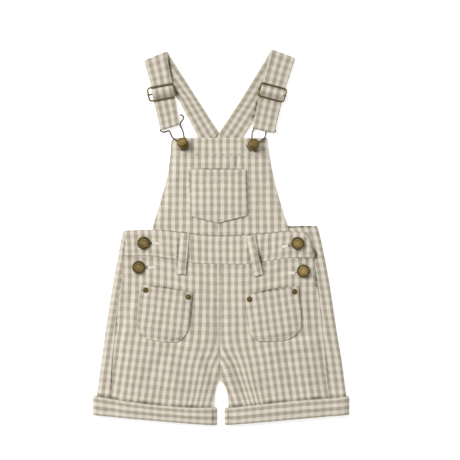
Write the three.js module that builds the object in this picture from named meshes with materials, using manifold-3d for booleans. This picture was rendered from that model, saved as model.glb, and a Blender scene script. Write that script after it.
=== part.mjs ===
// Gingham shortalls laid flat on their back, straps folded down and hooked to the bib buttons.
// Millimetres, +Z up, +X to the right of the picture, +Y towards the shoulders.
// The origin is under the middle of the garment, on the surface it lies on.
import * as THREE from 'three';
import { mergeVertices } from 'three/addons/utils/BufferGeometryUtils.js';
import Module from 'manifold-3d';

const wasm = await Module();
wasm.setup();

// Driving dimensions
const CLOTH = 1.1;             // one thickness of the cotton
const CUFF_CLOTH = 1.8;        // the turned-up band, two thicknesses pressed together
const GAP = 0.3;               // between pieces that touch
const SEAM = 0.5;              // between the cut edges of two panels sewn together
const WIRE = 1.6;              // hook wire diameter
const BAR = 2.0;               // slider wire diameter
const FOLD_STEPS = 4;          // faces round one fold of the cloth
const FLOOR_LAYER = CLOTH / 2;                       // middle of the cloth that lies on the surface
const SECOND_LAYER = FLOOR_LAYER + CLOTH + 0.4;      // middle of the cloth folded over it
const BAND_LEVEL = 2.9;        // inner face of the front at the waistband, over two layers
const EDGE_LEVEL = 1.5;        // inner face of the front at the side seams
const BIB_EDGE_LEVEL = 1.4;    // inner face of the bib along its side edges
const BULGE = 1.3;             // extra rise in the middle of each leg front
const CUFF_LIFT = CUFF_CLOTH + GAP + 0.1;            // the leg rests on the back of its cuff
const LIFT_RUN = 16;           // length over which the leg climbs on to the cuff
const CUFF_BEND = 2.5;         // radius of the cuff's side folds, to the middle of the cloth
const HEM_IN_CUFF = 15;        // how far the leg runs down inside its cuff
const CROTCH_Y = -180;
const CENTRE_X = -1.6;         // centre front and centre back seams
const BIB_TOP = 124;
const BACK_BIB_TOP = 129.5;
const BACK_BAND_SEAM = -46.2;  // back waistband meets the back legs

// Colours of the cloth and the metal
const CREAM = '#d6cdbb';
const BRASS = '#8a7038';
const DARK_WIRE = '#5c5645';

const step = (x, from, to) => THREE.MathUtils.smoothstep(x, Math.min(from, to), Math.max(from, to));
const climb = (x, from, to) => (from < to ? step(x, from, to) : 1 - step(x, to, from));
const lerp = THREE.MathUtils.lerp;
const { clamp } = THREE.MathUtils;

// A smooth curve through the rows of a table: value as a function of key.
function through(table, key, value) {
  const rows = [...table].sort((a, b) => a[key] - b[key]);
  const slopes = rows.map((row, i) => {
    const before = rows[Math.max(i - 1, 0)];
    const after = rows[Math.min(i + 1, rows.length - 1)];
    return (after[value] - before[value]) / (after[key] - before[key]);
  });
  return (at) => {
    let i = 0;
    while (i < rows.length - 2 && at > rows[i + 1][key]) i += 1;
    const span = rows[i + 1][key] - rows[i][key];
    const t = (at - rows[i][key]) / span;
    if (t < 0) return rows[0][value] + slopes[0] * t * span;
    if (t > 1) return rows[i + 1][value] + slopes[i + 1] * (t - 1) * span;
    const t2 = t * t;
    const t3 = t2 * t;
    return (2 * t3 - 3 * t2 + 1) * rows[i][value] + (t3 - 2 * t2 + t) * span * slopes[i]
      + (3 * t2 - 2 * t3) * rows[i + 1][value] + (t3 - t2) * span * slopes[i + 1];
  };
}

// Outlines, as seen from above
const waistTop = through([
  { x: -121.2, y: 8.7 }, { x: -85, y: 9.4 }, { x: -60, y: 7.4 }, { x: -35, y: 4.2 },
  { x: -8.8, y: 2 }, { x: 17.7, y: 2.2 }, { x: 52.5, y: 4.6 }, { x: 83.8, y: 7.4 }, { x: 106.6, y: 5.6 },
], 'x', 'y');
const waistBottom = through([
  { x: -122.6, y: -23.1 }, { x: -83.8, y: -23.4 }, { x: -70, y: -25.8 }, { x: -56.9, y: -27.6 },
  { x: -40.1, y: -31.6 }, { x: -1.6, y: -33.4 }, { x: 33.5, y: -33.4 }, { x: 52.7, y: -30.5 },
  { x: 83.8, y: -25.8 }, { x: 115.6, y: -25.3 },
], 'x', 'y');

const LEFT = {
  name: 'left',
  sign: -1,
  silhouette: through([
    { y: 8.7, x: -122.1 }, { y: -5.2, x: -125.3 }, { y: -23.1, x: -128.4 }, { y: -42.6, x: -132.3 },
    { y: -94.7, x: -140.9 }, { y: -129.7, x: -146.1 }, { y: -155.9, x: -149.6 }, { y: -196.6, x: -154.9 },
  ], 'y', 'x'),
  sideSeam: through([
    { y: -23.1, x: -122.6 }, { y: -42, x: -122.4 }, { y: -59.7, x: -123.6 }, { y: -78.4, x: -127.9 },
    { y: -120.9, x: -131.6 }, { y: -147.2, x: -134.8 }, { y: -173.4, x: -136.6 }, { y: -215, x: -137.6 },
  ], 'y', 'x'),
  inseam: through([
    { y: -30, x: CENTRE_X }, { y: -150, x: CENTRE_X }, { y: -174, x: CENTRE_X }, { y: -181, x: -2.2 },
    { y: -187.2, x: -4.1 }, { y: -195.9, x: -6.2 }, { y: -207, x: -8.6 }, { y: -214, x: -10.2 },
    { y: -229, x: -10.6 },
  ], 'y', 'x'),
  cuffTop: through([
    { x: -159, y: -197.4 }, { x: -140.1, y: -200.6 }, { x: -119.1, y: -204.1 }, { x: -76.2, y: -209.2 },
    { x: -40.9, y: -211.8 }, { x: -5, y: -212.2 },
  ], 'x', 'y'),
  cuffBottom: through([
    { x: -159.5, y: -221.3 }, { x: -116.2, y: -225.1 }, { x: -76.2, y: -228.6 }, { x: -17, y: -233.4 },
    { x: -5, y: -234 },
  ], 'x', 'y'),
  cuffSpan: { outer: -159.8, inner: -4.8 },
  tabEdge: through([{ y: 9, x: -121.2 }, { y: -5.2, x: -119.4 }, { y: -26, x: -122.6 }], 'y', 'x'),
  underlap: { bandTo: -72, legTo: -106 },
  crease: { from: [-92, -176], to: [-62, -140], depth: 0.5, width: 12 },
};

const RIGHT = {
  name: 'right',
  sign: 1,
  silhouette: through([
    { y: 14.8, x: 119.5 }, { y: 4.8, x: 122.7 }, { y: -14.7, x: 127 }, { y: -37.1, x: 131.6 },
    { y: -56.6, x: 135.1 }, { y: -115.7, x: 144.1 }, { y: -157.2, x: 151 }, { y: -195.3, x: 155.8 },
  ], 'y', 'x'),
  sideSeam: through([
    { y: -23.1, x: 115.6 }, { y: -42, x: 117.4 }, { y: -62.2, x: 120.8 }, { y: -90, x: 124.4 },
    { y: -123.4, x: 127.6 }, { y: -147, x: 130.4 }, { y: -174.7, x: 133.2 }, { y: -215, x: 136 },
  ], 'y', 'x'),
  inseam: through([
    { y: -30, x: CENTRE_X }, { y: -150, x: CENTRE_X }, { y: -174, x: CENTRE_X + 0.5 }, { y: -179, x: 1.2 },
    { y: -184.2, x: 3.9 }, { y: -193.1, x: 6.9 }, { y: -207, x: 8.6 }, { y: -214, x: 9.2 },
    { y: -229, x: 9.4 },
  ], 'y', 'x'),
  cuffTop: through([
    { x: 4.5, y: -212.8 }, { x: 30, y: -210.2 }, { x: 73.8, y: -205.4 }, { x: 113.3, y: -201.8 },
    { x: 142.5, y: -200 }, { x: 159.4, y: -197.6 },
  ], 'x', 'y'),
  cuffBottom: through([
    { x: 4.5, y: -234 }, { x: 30, y: -231.8 }, { x: 73.8, y: -228 }, { x: 115, y: -224.4 },
    { x: 159.9, y: -220.9 },
  ], 'x', 'y'),
  cuffSpan: { outer: 160, inner: 4.3 },
  tabEdge: through([{ y: 7, x: 106.4 }, { y: -5.2, x: 110.4 }, { y: -16, x: 113.8 }, { y: -26, x: 115.4 }],
    'y', 'x'),
  underlap: { bandTo: 73, legTo: 102 },
  crease: { from: [18, -150], to: [42, -204], depth: 1, width: 13 },
};

const BIB = {
  left: through([
    { y: 124.1, x: -60.6 }, { y: 104, x: -63 }, { y: 81.4, x: -66 }, { y: 60, x: -71.2 },
    { y: 38.4, x: -77.6 }, { y: 9.5, x: -86 },
  ], 'y', 'x'),
  right: through([
    { y: 123.7, x: 57.9 }, { y: 104, x: 60.2 }, { y: 86.2, x: 63.1 }, { y: 66, x: 67.8 },
    { y: 47.9, x: 72.6 }, { y: 25, x: 79.6 }, { y: 7, x: 85.2 },
  ], 'y', 'x'),
};

// How far a point lies above the surface because its leg rests on the back of the cuff
function lift(x, y) {
  const side = x < CENTRE_X ? LEFT : RIGHT;
  return CUFF_LIFT * climb(y, side.cuffTop(x) + LIFT_RUN, side.cuffTop(x) + 1);
}

// One long crease: a soft trough between two points
function trough(x, y, { from, to, depth, width }) {
  const line = new THREE.Line3(new THREE.Vector3(...from, 0), new THREE.Vector3(...to, 0));
  const here = new THREE.Vector3(x, y, 0);
  const along = line.closestPointToPointParameter(here, true);
  const near = line.at(along, new THREE.Vector3());
  const across = Math.min(here.distanceTo(near) / width, 1);
  return -depth * Math.cos(across * Math.PI / 2) ** 2 * Math.sin(Math.PI * (0.15 + 0.7 * along));
}

// Inner face of the front, above the surface: low along the seams, full in the middle of each leg
function hipLevel(x, y) {
  const side = x < CENTRE_X ? LEFT : RIGHT;
  const seam = side.sideSeam(y);
  const inner = side.inseam(y);
  const across = clamp((x - seam) / (inner - seam), 0, 1);
  const edge = lerp(EDGE_LEVEL, BAND_LEVEL, step(y, -86, -68));
  const body = BAND_LEVEL + BULGE * Math.sin(Math.PI * across) * climb(y, -34, -80) * climb(y, -214, -170);
  const fromSeam = step(Math.abs(x - seam), 0, 20);
  const fromInseam = lerp(1, step(Math.abs(x - inner), -2, 22), climb(y, CROTCH_Y + 14, CROTCH_Y - 6));
  const level = lerp(edge, body, fromSeam);
  return lerp(EDGE_LEVEL, level, fromInseam) + trough(x, y, side.crease) + lift(x, y);
}

function bibLevel(x, y) {
  const inside = Math.min(x - BIB.left(y), BIB.right(y) - x);
  const edge = lerp(BIB_EDGE_LEVEL, BAND_LEVEL, climb(y, 34, 14));
  const middle = BAND_LEVEL + 0.8 * climb(y, 14, 50) * climb(y, 120, 90) * climb(inside, 8, 50);
  return lerp(edge, middle, step(inside, 0, 12));
}

const ON_TOP = GAP + 0.1;      // between the front and a patch, whose faces are flatter than the curve
const frontLevel = (x, y) => (y > waistTop(x) ? bibLevel(x, y) : hipLevel(x, y));
const frontMiddle = (x, y) => frontLevel(x, y) + CLOTH / 2;
const onFront = (x, y) => frontMiddle(x, y) + CLOTH + ON_TOP;

// A closed wall: a grid of points on the middle of the cloth, moved out to both sides.
// rows[j][i] are Vector3. A ring joins the last column to the first.
function wall(rows, thickness, ring = false) {
  const height = rows.length;
  const width = rows[0].length;
  const at = (j, i) => {
    const row = rows[clamp(j, 0, height - 1)];
    return row[ring ? (i + width) % width : clamp(i, 0, width - 1)];
  };
  const outer = [];
  const inner = [];
  for (let j = 0; j < height; j += 1) {
    for (let i = 0; i < width; i += 1) {
      const across = at(j, i + 1).clone().sub(at(j, i - 1));
      const along = at(j + 1, i).clone().sub(at(j - 1, i));
      const normal = across.cross(along).normalize().multiplyScalar(thickness / 2);
      outer.push(at(j, i).clone().add(normal));
      inner.push(at(j, i).clone().sub(normal));
    }
  }
  const points = [...outer, ...inner];
  const under = outer.length;
  const faces = [];
  const quad = (a, b, c, d) => faces.push(a, b, c, a, c, d);
  const columns = ring ? width : width - 1;
  for (let j = 0; j < height - 1; j += 1) {
    for (let i = 0; i < columns; i += 1) {
      const a = j * width + i;
      const b = j * width + (i + 1) % width;
      const c = b + width;
      const d = a + width;
      quad(a, b, c, d);
      quad(under + a, under + d, under + c, under + b);
    }
    if (!ring) {
      const first = j * width;
      const last = first + width - 1;
      quad(first, first + width, under + first + width, under + first);
      quad(last, under + last, under + last + width, last + width);
    }
  }
  for (let i = 0; i < columns; i += 1) {
    const next = (i + 1) % width;
    const low = (height - 1) * width;
    quad(i, under + i, under + next, next);
    quad(low + i, low + next, under + low + next, under + low + i);
  }
  const geometry = new THREE.BufferGeometry();
  geometry.setAttribute('position', new THREE.Float32BufferAttribute(points.flatMap((p) => p.toArray()), 3));
  geometry.setIndex(signedVolume(points, faces) < 0 ? faces.reverse() : faces);
  return geometry;
}

function signedVolume(points, faces) {
  let volume = 0;
  for (let f = 0; f < faces.length; f += 3) {
    const [a, b, c] = [points[faces[f]], points[faces[f + 1]], points[faces[f + 2]]];
    volume += a.dot(b.clone().cross(c));
  }
  return volume;
}

// A panel between two side edges x(y) and two seams y(x), at a height worked out from x and y
function panel({ left, right, top, bottom, cols, rows, height }) {
  const grid = [];
  for (let j = 0; j <= rows; j += 1) {
    const line = [];
    for (let i = 0; i <= cols; i += 1) {
      let x = (left(0) + right(0)) / 2;
      let y = 0;
      for (let round = 0; round < 8; round += 1) {
        y = lerp(top(x), bottom(x), j / rows);
        x = lerp(left(y), right(y), i / cols);
      }
      line.push(new THREE.Vector3(x, y, height(x, y)));
    }
    grid.push(line);
  }
  return grid;
}

// Solids for cutting and joining
function toSolid(geometry) {
  const bare = geometry.clone();
  bare.deleteAttribute('normal');
  bare.deleteAttribute('uv');
  const merged = mergeVertices(bare, 1e-4);
  const vertProperties = new Float32Array(merged.attributes.position.array);
  const triVerts = new Uint32Array(merged.index.array);
  return new wasm.Manifold(new wasm.Mesh({ numProp: 3, vertProperties, triVerts }));
}

function toGeometry(solid) {
  const mesh = solid.getMesh();
  const geometry = new THREE.BufferGeometry();
  geometry.setAttribute('position', new THREE.BufferAttribute(new Float32Array(mesh.vertProperties), 3));
  geometry.setIndex(new THREE.BufferAttribute(new Uint32Array(mesh.triVerts), 1));
  return geometry;
}

const join = (...parts) => toGeometry(parts.map(toSolid).reduce((a, b) => a.add(b)));
const cut = (body, ...tools) => toGeometry(tools.map(toSolid).reduce((a, b) => a.subtract(b), toSolid(body)));

const model = new THREE.Group();

function add(name, geometry, color, metal = false) {
  const material = new THREE.MeshStandardMaterial({
    color, roughness: metal ? 0.45 : 0.9, metalness: metal ? 1 : 0,
  });
  const mesh = new THREE.Mesh(geometry, material);
  mesh.name = name;
  model.add(mesh);
}

// Buttonhole: a round eye for the shank and a slit towards the middle of the garment
const SHANK = 2.4;
const EYE = SHANK + 0.5;
const SLIT = { length: 19, width: 0.9 };

function buttonhole({ x, y, towards, turn }) {
  const eye = new THREE.CylinderGeometry(EYE, EYE, 12, 12).rotateX(Math.PI / 2).translate(x, y, 4);
  const slit = new THREE.BoxGeometry(SLIT.length, SLIT.width, 12);
  slit.translate(towards * SLIT.length / 2, 0, 0).rotateZ(turn).translate(x, y, 4);
  return [eye, slit];
}

const SIDE_BUTTONS = [
  { name: 'left_upper', x: -97, y: -7.2, towards: 1, turn: -0.04 },
  { name: 'left_lower', x: -102.9, y: -37.6, towards: 1, turn: 0 },
  { name: 'right_upper', x: 95.8, y: -8.7, towards: -1, turn: 0.04 },
  { name: 'right_lower', x: 103.4, y: -42.6, towards: -1, turn: 0.12 },
];

// Front bib, waistband and legs
function frontPanels() {
  add('front_bib', wall(panel({
    left: BIB.left,
    right: BIB.right,
    top: () => BIB_TOP,
    bottom: (x) => waistTop(x) + SEAM / 2,
    cols: 11,
    rows: 9,
    height: frontMiddle,
  }), CLOTH), CREAM);

  const band = wall(panel({
    left: LEFT.tabEdge,
    right: RIGHT.tabEdge,
    top: (x) => waistTop(x) - SEAM / 2,
    bottom: (x) => waistBottom(x) + SEAM / 2,
    cols: 24,
    rows: 2,
    height: (x, y) => hipLevel(x, Math.min(y, waistBottom(x))) + CLOTH / 2,
  }), CLOTH);
  const upper = SIDE_BUTTONS.filter((button) => button.name.endsWith('upper'));
  add('front_waistband', cut(band, ...upper.flatMap(buttonhole)), CREAM);

  for (const side of [LEFT, RIGHT]) {
    const seam = (y) => side.sideSeam(y) - side.sign * SEAM / 2;
    const middle = (y) => side.inseam(y) + side.sign * GAP / 2;
    const leg = wall(panel({
      left: side.sign < 0 ? seam : middle,
      right: side.sign < 0 ? middle : seam,
      top: (x) => waistBottom(x) - SEAM / 2,
      bottom: (x) => side.cuffTop(x) - HEM_IN_CUFF,
      cols: 10,
      rows: 13,
      height: (x, y) => hipLevel(x, y) + CLOTH / 2,
    }), CLOTH);
    const lower = SIDE_BUTTONS.find((button) => button.name === `${side.name}_lower`);
    add(`front_leg_${side.name}`, cut(leg, ...buttonhole(lower)), CREAM);
  }
}

// Patch pockets and belt loops, made from the points of the panel they lie on
const CHEST_POCKET = {
  top: () => 84.4,
  left: through([{ y: 84.4, x: -39.8 }, { y: 55, x: -38.6 }, { y: 26, x: -37.4 }], 'y', 'x'),
  right: through([{ y: 84.4, x: 31.4 }, { y: 55, x: 32.4 }, { y: 26, x: 33.3 }], 'y', 'x'),
  bottom: (x) => lerp(17.4, 27, Math.min(Math.abs(x + 3.9) / 36, 1)),
};

const HIP_POCKETS = {
  left: {
    top: through([{ x: -99.4, y: -58.8 }, { x: -69.5, y: -63.1 }, { x: -36, y: -68.4 }], 'x', 'y'),
    left: through([
      { y: -58.8, x: -99.4 }, { y: -77.2, x: -101.8 }, { y: -95.3, x: -105.6 }, { y: -108, x: -106.8 },
      { y: -117, x: -103 }, { y: -126, x: -94 },
    ], 'y', 'x'),
    right: through([
      { y: -68.4, x: -35.2 }, { y: -92.2, x: -37.4 }, { y: -110, x: -39.4 }, { y: -119, x: -42.6 },
      { y: -127.5, x: -50 },
    ], 'y', 'x'),
    bottom: through([
      { x: -100, y: -123 }, { x: -92.9, y: -126.6 }, { x: -66, y: -130.6 }, { x: -53, y: -129.6 },
      { x: -46, y: -124.5 },
    ], 'x', 'y'),
  },
  right: {
    top: through([{ x: 30.2, y: -71.9 }, { x: 62.1, y: -65 }, { x: 97.3, y: -60.4 }], 'x', 'y'),
    left: through([
      { y: -71.9, x: 30.2 }, { y: -91.7, x: 31.6 }, { y: -110.8, x: 34.2 }, { y: -119, x: 36.2 },
      { y: -126, x: 42 },
    ], 'y', 'x'),
    right: through([
      { y: -60.4, x: 97.3 }, { y: -75.8, x: 97.8 }, { y: -98.1, x: 100.2 }, { y: -111, x: 99.8 },
      { y: -118, x: 96.4 }, { y: -125.5, x: 88.5 },
    ], 'y', 'x'),
    bottom: through([
      { x: 39, y: -124.6 }, { x: 45, y: -128.4 }, { x: 60, y: -129.9 }, { x: 83, y: -127.6 },
      { x: 93, y: -121.5 },
    ], 'x', 'y'),
  },
};

const BELT_LOOPS = {
  left: { top: [-45.2, 5.2], bottom: [-49.3, -46.2] },
  right: { top: [37, 2.2], bottom: [46.6, -47.6] },
};
const LOOP_WIDTH = 11.6;
const LOOP_RISE = 1.4;
const LOOP_STEPS = 8;

function beltLoop({ top, bottom }) {
  const rows = [];
  const start = new THREE.Vector2(...top);
  const end = new THREE.Vector2(...bottom);
  const across = end.clone().sub(start).normalize().rotateAround(new THREE.Vector2(), Math.PI / 2);
  for (let j = 0; j <= LOOP_STEPS; j += 1) {
    const middle = start.clone().lerp(end, j / LOOP_STEPS);
    const arch = LOOP_RISE * Math.sin(Math.PI * step(j / LOOP_STEPS, 0.06, 0.94)) ** 2;
    rows.push([-1, 0, 1].map((i) => {
      const p = middle.clone().addScaledVector(across, i * LOOP_WIDTH / 2);
      return new THREE.Vector3(p.x, p.y, hipLevel(p.x, p.y) + CLOTH * 1.5 + ON_TOP + arch);
    }));
  }
  return wall(rows, CLOTH);
}

function patches() {
  add('chest_pocket', wall(panel({ ...CHEST_POCKET, cols: 6, rows: 5, height: onFront }), CLOTH), CREAM);
  for (const [side, outline] of Object.entries(HIP_POCKETS)) {
    add(`hip_pocket_${side}`, wall(panel({ ...outline, cols: 6, rows: 8, height: onFront }), CLOTH), CREAM);
  }
  for (const [side, loop] of Object.entries(BELT_LOOPS)) {
    add(`belt_loop_${side}`, beltLoop(loop), CREAM);
  }
}

// A layer on the surface that turns over at the outline and lies on itself as far as a side seam.
// The row runs from the inner end to the fold, round it, and back to the end of the flap.
function foldedRow({ sign, y, inner, outline, flapEnd, across, flap }) {
  const bend = (SECOND_LAYER - FLOOR_LAYER) / 2;
  const turn = outline - sign * (bend + CLOTH / 2);
  const row = [];
  for (let i = 0; i < across; i += 1) {
    const x = lerp(inner, turn, i / across);
    row.push(new THREE.Vector3(x, y(x), FLOOR_LAYER + lift(x, y(x))));
  }
  const here = y(turn);
  const base = FLOOR_LAYER + lift(turn, here);
  for (let k = 0; k <= FOLD_STEPS; k += 1) {
    const angle = Math.PI * k / FOLD_STEPS;
    const x = turn + sign * bend * Math.sin(angle);
    row.push(new THREE.Vector3(x, here, base + bend * (1 - Math.cos(angle))));
  }
  for (let i = 1; i <= flap; i += 1) {
    const x = lerp(turn, flapEnd, i / flap);
    row.push(new THREE.Vector3(x, y(x), SECOND_LAYER + lift(x, y(x))));
  }
  return row;
}

// The flap of a back leg: a short underlap below the waistband, then as far as the side seam
function flapEnd(side, y) {
  const seam = side.sideSeam(y) + side.sign * SEAM;
  return lerp(side.underlap.legTo, seam, climb(y, -62, -66.5));
}

// Stations down a back leg, closer where its flap widens and where it climbs on to the cuff
const LEG_STATIONS = [0, 0.06, 0.095, 0.13, 0.22, 0.35, 0.5, 0.65, 0.78, 0.83, 0.88, 0.92, 1];

function backLegs() {
  for (const side of [LEFT, RIGHT]) {
    const top = BACK_BAND_SEAM - GAP / 2;
    const rows = LEG_STATIONS.map((v) => {
      const y = (x) => lerp(top, side.cuffTop(x) - HEM_IN_CUFF, v);
      const innerY = y(side.inseam(y(CENTRE_X)));
      const outline = side.silhouette(y(side.silhouette(y(side.sign * 140))));
      const end = flapEnd(side, y(side.sideSeam(y(side.sign * 125))));
      const inner = side.inseam(innerY) + side.sign * GAP / 2;
      return foldedRow({ sign: side.sign, y, inner, outline, flapEnd: end, across: 6, flap: 2 });
    });
    add(`back_leg_${side.name}`, wall(rows, CLOTH), CREAM);
  }
}

const backBandTop = (x) => lerp(8.7, 14.6, step(x, -60, 110));

function backWaistband() {
  const rows = [];
  const steps = 4;
  for (let j = 0; j <= steps; j += 1) {
    const y = (x) => lerp(backBandTop(x), BACK_BAND_SEAM + GAP / 2, j / steps);
    const halves = [LEFT, RIGHT].map((side) => foldedRow({
      sign: side.sign,
      y,
      inner: CENTRE_X,
      outline: side.silhouette(y(side.sign * 125)),
      flapEnd: side.underlap.bandTo,
      across: 5,
      flap: 3,
    }));
    rows.push([...halves[0].reverse(), ...halves[1].slice(1)]);
  }
  add('back_waistband', wall(rows, CLOTH), CREAM);
}

function backBib() {
  const edge = (sign) => through([
    { y: BACK_BIB_TOP, x: sign * 33 - 2.5 }, { y: 82, x: sign * 52 - 2 }, { y: 9, x: sign * 79 - 1 },
  ], 'y', 'x');
  add('back_bib', wall(panel({
    left: edge(-1),
    right: edge(1),
    top: () => BACK_BIB_TOP,
    bottom: (x) => backBandTop(x) + GAP,
    cols: 4,
    rows: 4,
    height: () => FLOOR_LAYER,
  }), CLOTH), CREAM);
}

// Turned-up cuffs: flattened rings round the hems, their two open edges drawn in a little
const CUFF_TUCK = 0.35;
const CUFF_END_RUN = 9;        // length over which the front of a cuff rises from its side fold

// The points of a cuff's side fold, from the back to the front or the other way round
function cuffFold(x, y, outward, tuck, angles) {
  return angles.map((k) => {
    const angle = Math.PI * k / 6;
    const reach = outward * (CUFF_BEND - tuck) * Math.sin(angle);
    return new THREE.Vector3(x + reach, y, CUFF_CLOTH / 2 + CUFF_BEND * (1 - Math.cos(angle)));
  });
}

function cuffs() {
  for (const side of [LEFT, RIGHT]) {
    const low = Math.min(side.cuffSpan.outer, side.cuffSpan.inner) + CUFF_BEND + CUFF_CLOTH / 2;
    const high = Math.max(side.cuffSpan.outer, side.cuffSpan.inner) - CUFF_BEND - CUFF_CLOTH / 2;
    const across = 13;
    const flat = CUFF_CLOTH / 2 + 2 * CUFF_BEND;
    const over = (x) => {
      const onLeg = hipLevel(x, side.cuffTop(x) - 2) + CLOTH + 2 * GAP + CUFF_CLOTH / 2;
      return lerp(flat, Math.max(onLeg, flat), climb(Math.min(x - low, high - x), 0, CUFF_END_RUN));
    };
    const rows = [0, 0.05, 0.5, 0.95, 1].map((v) => {
      const tuck = v === 0 || v === 1 ? CUFF_TUCK : 0;
      const y = (x) => lerp(side.cuffTop(x), side.cuffBottom(x), v);
      const places = Array.from({ length: across + 1 }, (_, i) => lerp(low, high, i / across));
      const back = places.map((x) => new THREE.Vector3(x, y(x), CUFF_CLOTH / 2));
      const front = places.map((x) => new THREE.Vector3(x, y(x), over(x) - tuck)).reverse();
      const right = cuffFold(high, y(high), 1, tuck, [1, 2, 3, 4, 5]);
      const left = cuffFold(low, y(low), -1, tuck, [5, 4, 3, 2, 1]);
      return [...back, ...right, ...front, ...left];
    });
    add(`cuff_${side.name}`, wall(rows, CUFF_CLOTH, true), CREAM);
  }
}

// Shoulder straps. From the back bib up to a flat diagonal fold, down the front under the
// slider's outer bars and over its middle bar, round the hook wire and back up behind.
const RETURN_LAYER = FLOOR_LAYER + CLOTH + GAP;      // the doubled end, over the back run
const UPPER_LAYER = RETURN_LAYER + CLOTH + GAP;      // the front run where it lies on that end
const HOOK_BEND = (WIRE + 2 * GAP + CLOTH) / 2;      // the strap's turn round the hook wire
const SLIDER_LEVEL = UPPER_LAYER + CLOTH / 2 + GAP + BAR / 2;
const HUMP = SLIDER_LEVEL + BAR / 2 + GAP + CLOTH / 2;
const WIRE_LEVEL = RETURN_LAYER + HOOK_BEND;

const STRAPS = {
  left: {
    fold: { outer: [-94.2, 221.2], neck: [-67.6, 232.3] },
    slider: { middle: [-74.2, 180.3], width: 26.8, turn: 0.192 },
    hook: { outer: [-74.6, 135.2], neck: [-51.4, 142.4] },
    back: { outer: [-18.8, 107.1], neck: [-3.6, 128.2] },
    outward: -1,
    foldOut: [-0.38, 0.92],
  },
  right: {
    fold: { outer: [92.1, 223.4], neck: [65, 234.1] },
    slider: { middle: [64.2, 180.7], width: 28, turn: -0.262 },
    hook: { outer: [68.2, 131.4], neck: [40.7, 137.2] },
    back: { outer: [15.6, 106.6], neck: [-0.4, 128.2] },
    outward: 1,
    foldOut: [0.37, 0.93],
  },
};
const SLIDER = { length: 33, height: 17.4, corner: 3.2, pitch: 7.7 };

const ENDS = ['outer', 'neck'];

// The line that the strap's lower end turns about, and the hook wire's place in it
function hookLine(strap) {
  const [outer, neck] = ENDS.map((end) => new THREE.Vector2(...strap.hook[end]));
  const axis = neck.clone().sub(outer).normalize();
  const up = new THREE.Vector2(-axis.y, axis.x).multiplyScalar(Math.sign(axis.x));
  const inset = HOOK_BEND + CLOTH / 2;
  return { up, line: [outer, neck].map((end) => end.addScaledVector(up, inset)) };
}

// Stations of a strap: shares of a stretch, or distances from the slider's middle bar
const BACK_RUN = [0, 0.06, 0.12, 0.18, 0.24, 0.3, 0.36, 0.6, 0.97];
const BACK_CLIMB = { from: 18, to: 5 };      // above the back bib's top, where the strap climbs on to it
const FRONT_RUN = [
  { at: 0.04, rise: 0 }, { at: 0.35, rise: 0.2 }, { at: 0.7, rise: 0.7 }, { at: 1, rise: 1 },
];
const THROUGH_SLIDER = [8.7, 6.7, 5.3, 3.9, 2.4, 1, -1, -2.4, -3.9, -5.3, -6.7, -8.7];
const TO_HOOK = [
  { at: 0.3, rise: 0 }, { at: 0.6, rise: 0.1 }, { at: 0.8, rise: 0.45 }, { at: 0.92, rise: 0.85 },
];
const BEHIND = [0.8, 0.5, 0.2, 0];
const TO_BAR = [
  { at: -6, rise: 0 }, { at: -3.5, rise: 0.35 }, { at: -1.2, rise: 0.9 }, { at: 0.6, rise: 1 },
];

function strapRows(strap) {
  const along = new THREE.Vector2(-Math.sin(strap.slider.turn), Math.cos(strap.slider.turn));
  const sideways = new THREE.Vector2(along.y, -along.x).multiplyScalar(-strap.outward);
  const lineOf = (place) => ENDS.map((end) => new THREE.Vector2(...place[end]));
  const barLine = (offset) => [-0.5, 0.5].map((share) => new THREE.Vector2(...strap.slider.middle)
    .addScaledVector(along, offset)
    .addScaledVector(sideways, share * strap.slider.width));
  const between = (a, b, t) => a.map((end, i) => end.clone().lerp(b[i], t));
  const moved = (line, push) => line.map((end) => end.clone().add(push));
  const rows = [];
  const put = ([outer, neck], height) => rows.push([0, 0.5, 1].map((share) => {
    const p = outer.clone().lerp(neck, share);
    return new THREE.Vector3(p.x, p.y, typeof height === 'function' ? height(p) : height);
  }));

  const onBackBib = (p) => lerp(
    FLOOR_LAYER, RETURN_LAYER, climb(p.y, BACK_BIB_TOP + BACK_CLIMB.from, BACK_BIB_TOP + BACK_CLIMB.to),
  );
  const fold = lineOf(strap.fold);
  BACK_RUN.forEach((at) => put(between(lineOf(strap.back), fold, at), onBackBib));

  const bend = (SECOND_LAYER - FLOOR_LAYER) / 2;
  for (let k = 0; k <= FOLD_STEPS; k += 1) {
    const angle = Math.PI * k / FOLD_STEPS;
    const push = new THREE.Vector2(...strap.foldOut).multiplyScalar(bend * Math.sin(angle));
    put(moved(fold, push), FLOOR_LAYER + bend * (1 - Math.cos(angle)));
  }
  const topEdge = barLine(SLIDER.pitch + 4);
  FRONT_RUN.forEach(({ at, rise }) => put(between(fold, topEdge, at), lerp(SECOND_LAYER, UPPER_LAYER, rise)));

  const wave = (offset) => {
    const t = clamp((Math.abs(offset) - 1) / (SLIDER.pitch - 2), 0, 1);
    return lerp(HUMP, UPPER_LAYER, (1 - Math.cos(Math.PI * t)) / 2);
  };
  THROUGH_SLIDER.forEach((offset) => put(barLine(offset), wave(offset)));
  const lowEdge = barLine(THROUGH_SLIDER.at(-1));
  const { up, line: turnLine } = hookLine(strap);
  const top = RETURN_LAYER + 2 * HOOK_BEND;
  TO_HOOK.forEach(({ at, rise }) => put(between(lowEdge, turnLine, at), lerp(UPPER_LAYER, top, rise)));

  const turns = 6;
  for (let k = 0; k <= turns; k += 1) {
    const angle = Math.PI * k / turns;
    const push = up.clone().multiplyScalar(-HOOK_BEND * Math.sin(angle));
    put(moved(turnLine, push), WIRE_LEVEL + HOOK_BEND * Math.cos(angle));
  }
  BEHIND.forEach((at) => put(between(lowEdge, turnLine, at), RETURN_LAYER));
  const underBar = SLIDER_LEVEL - BAR / 2 - GAP - CLOTH / 2;
  TO_BAR.forEach(({ at, rise }) => put(barLine(at), lerp(RETURN_LAYER, underBar, rise)));
  return rows;
}

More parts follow.
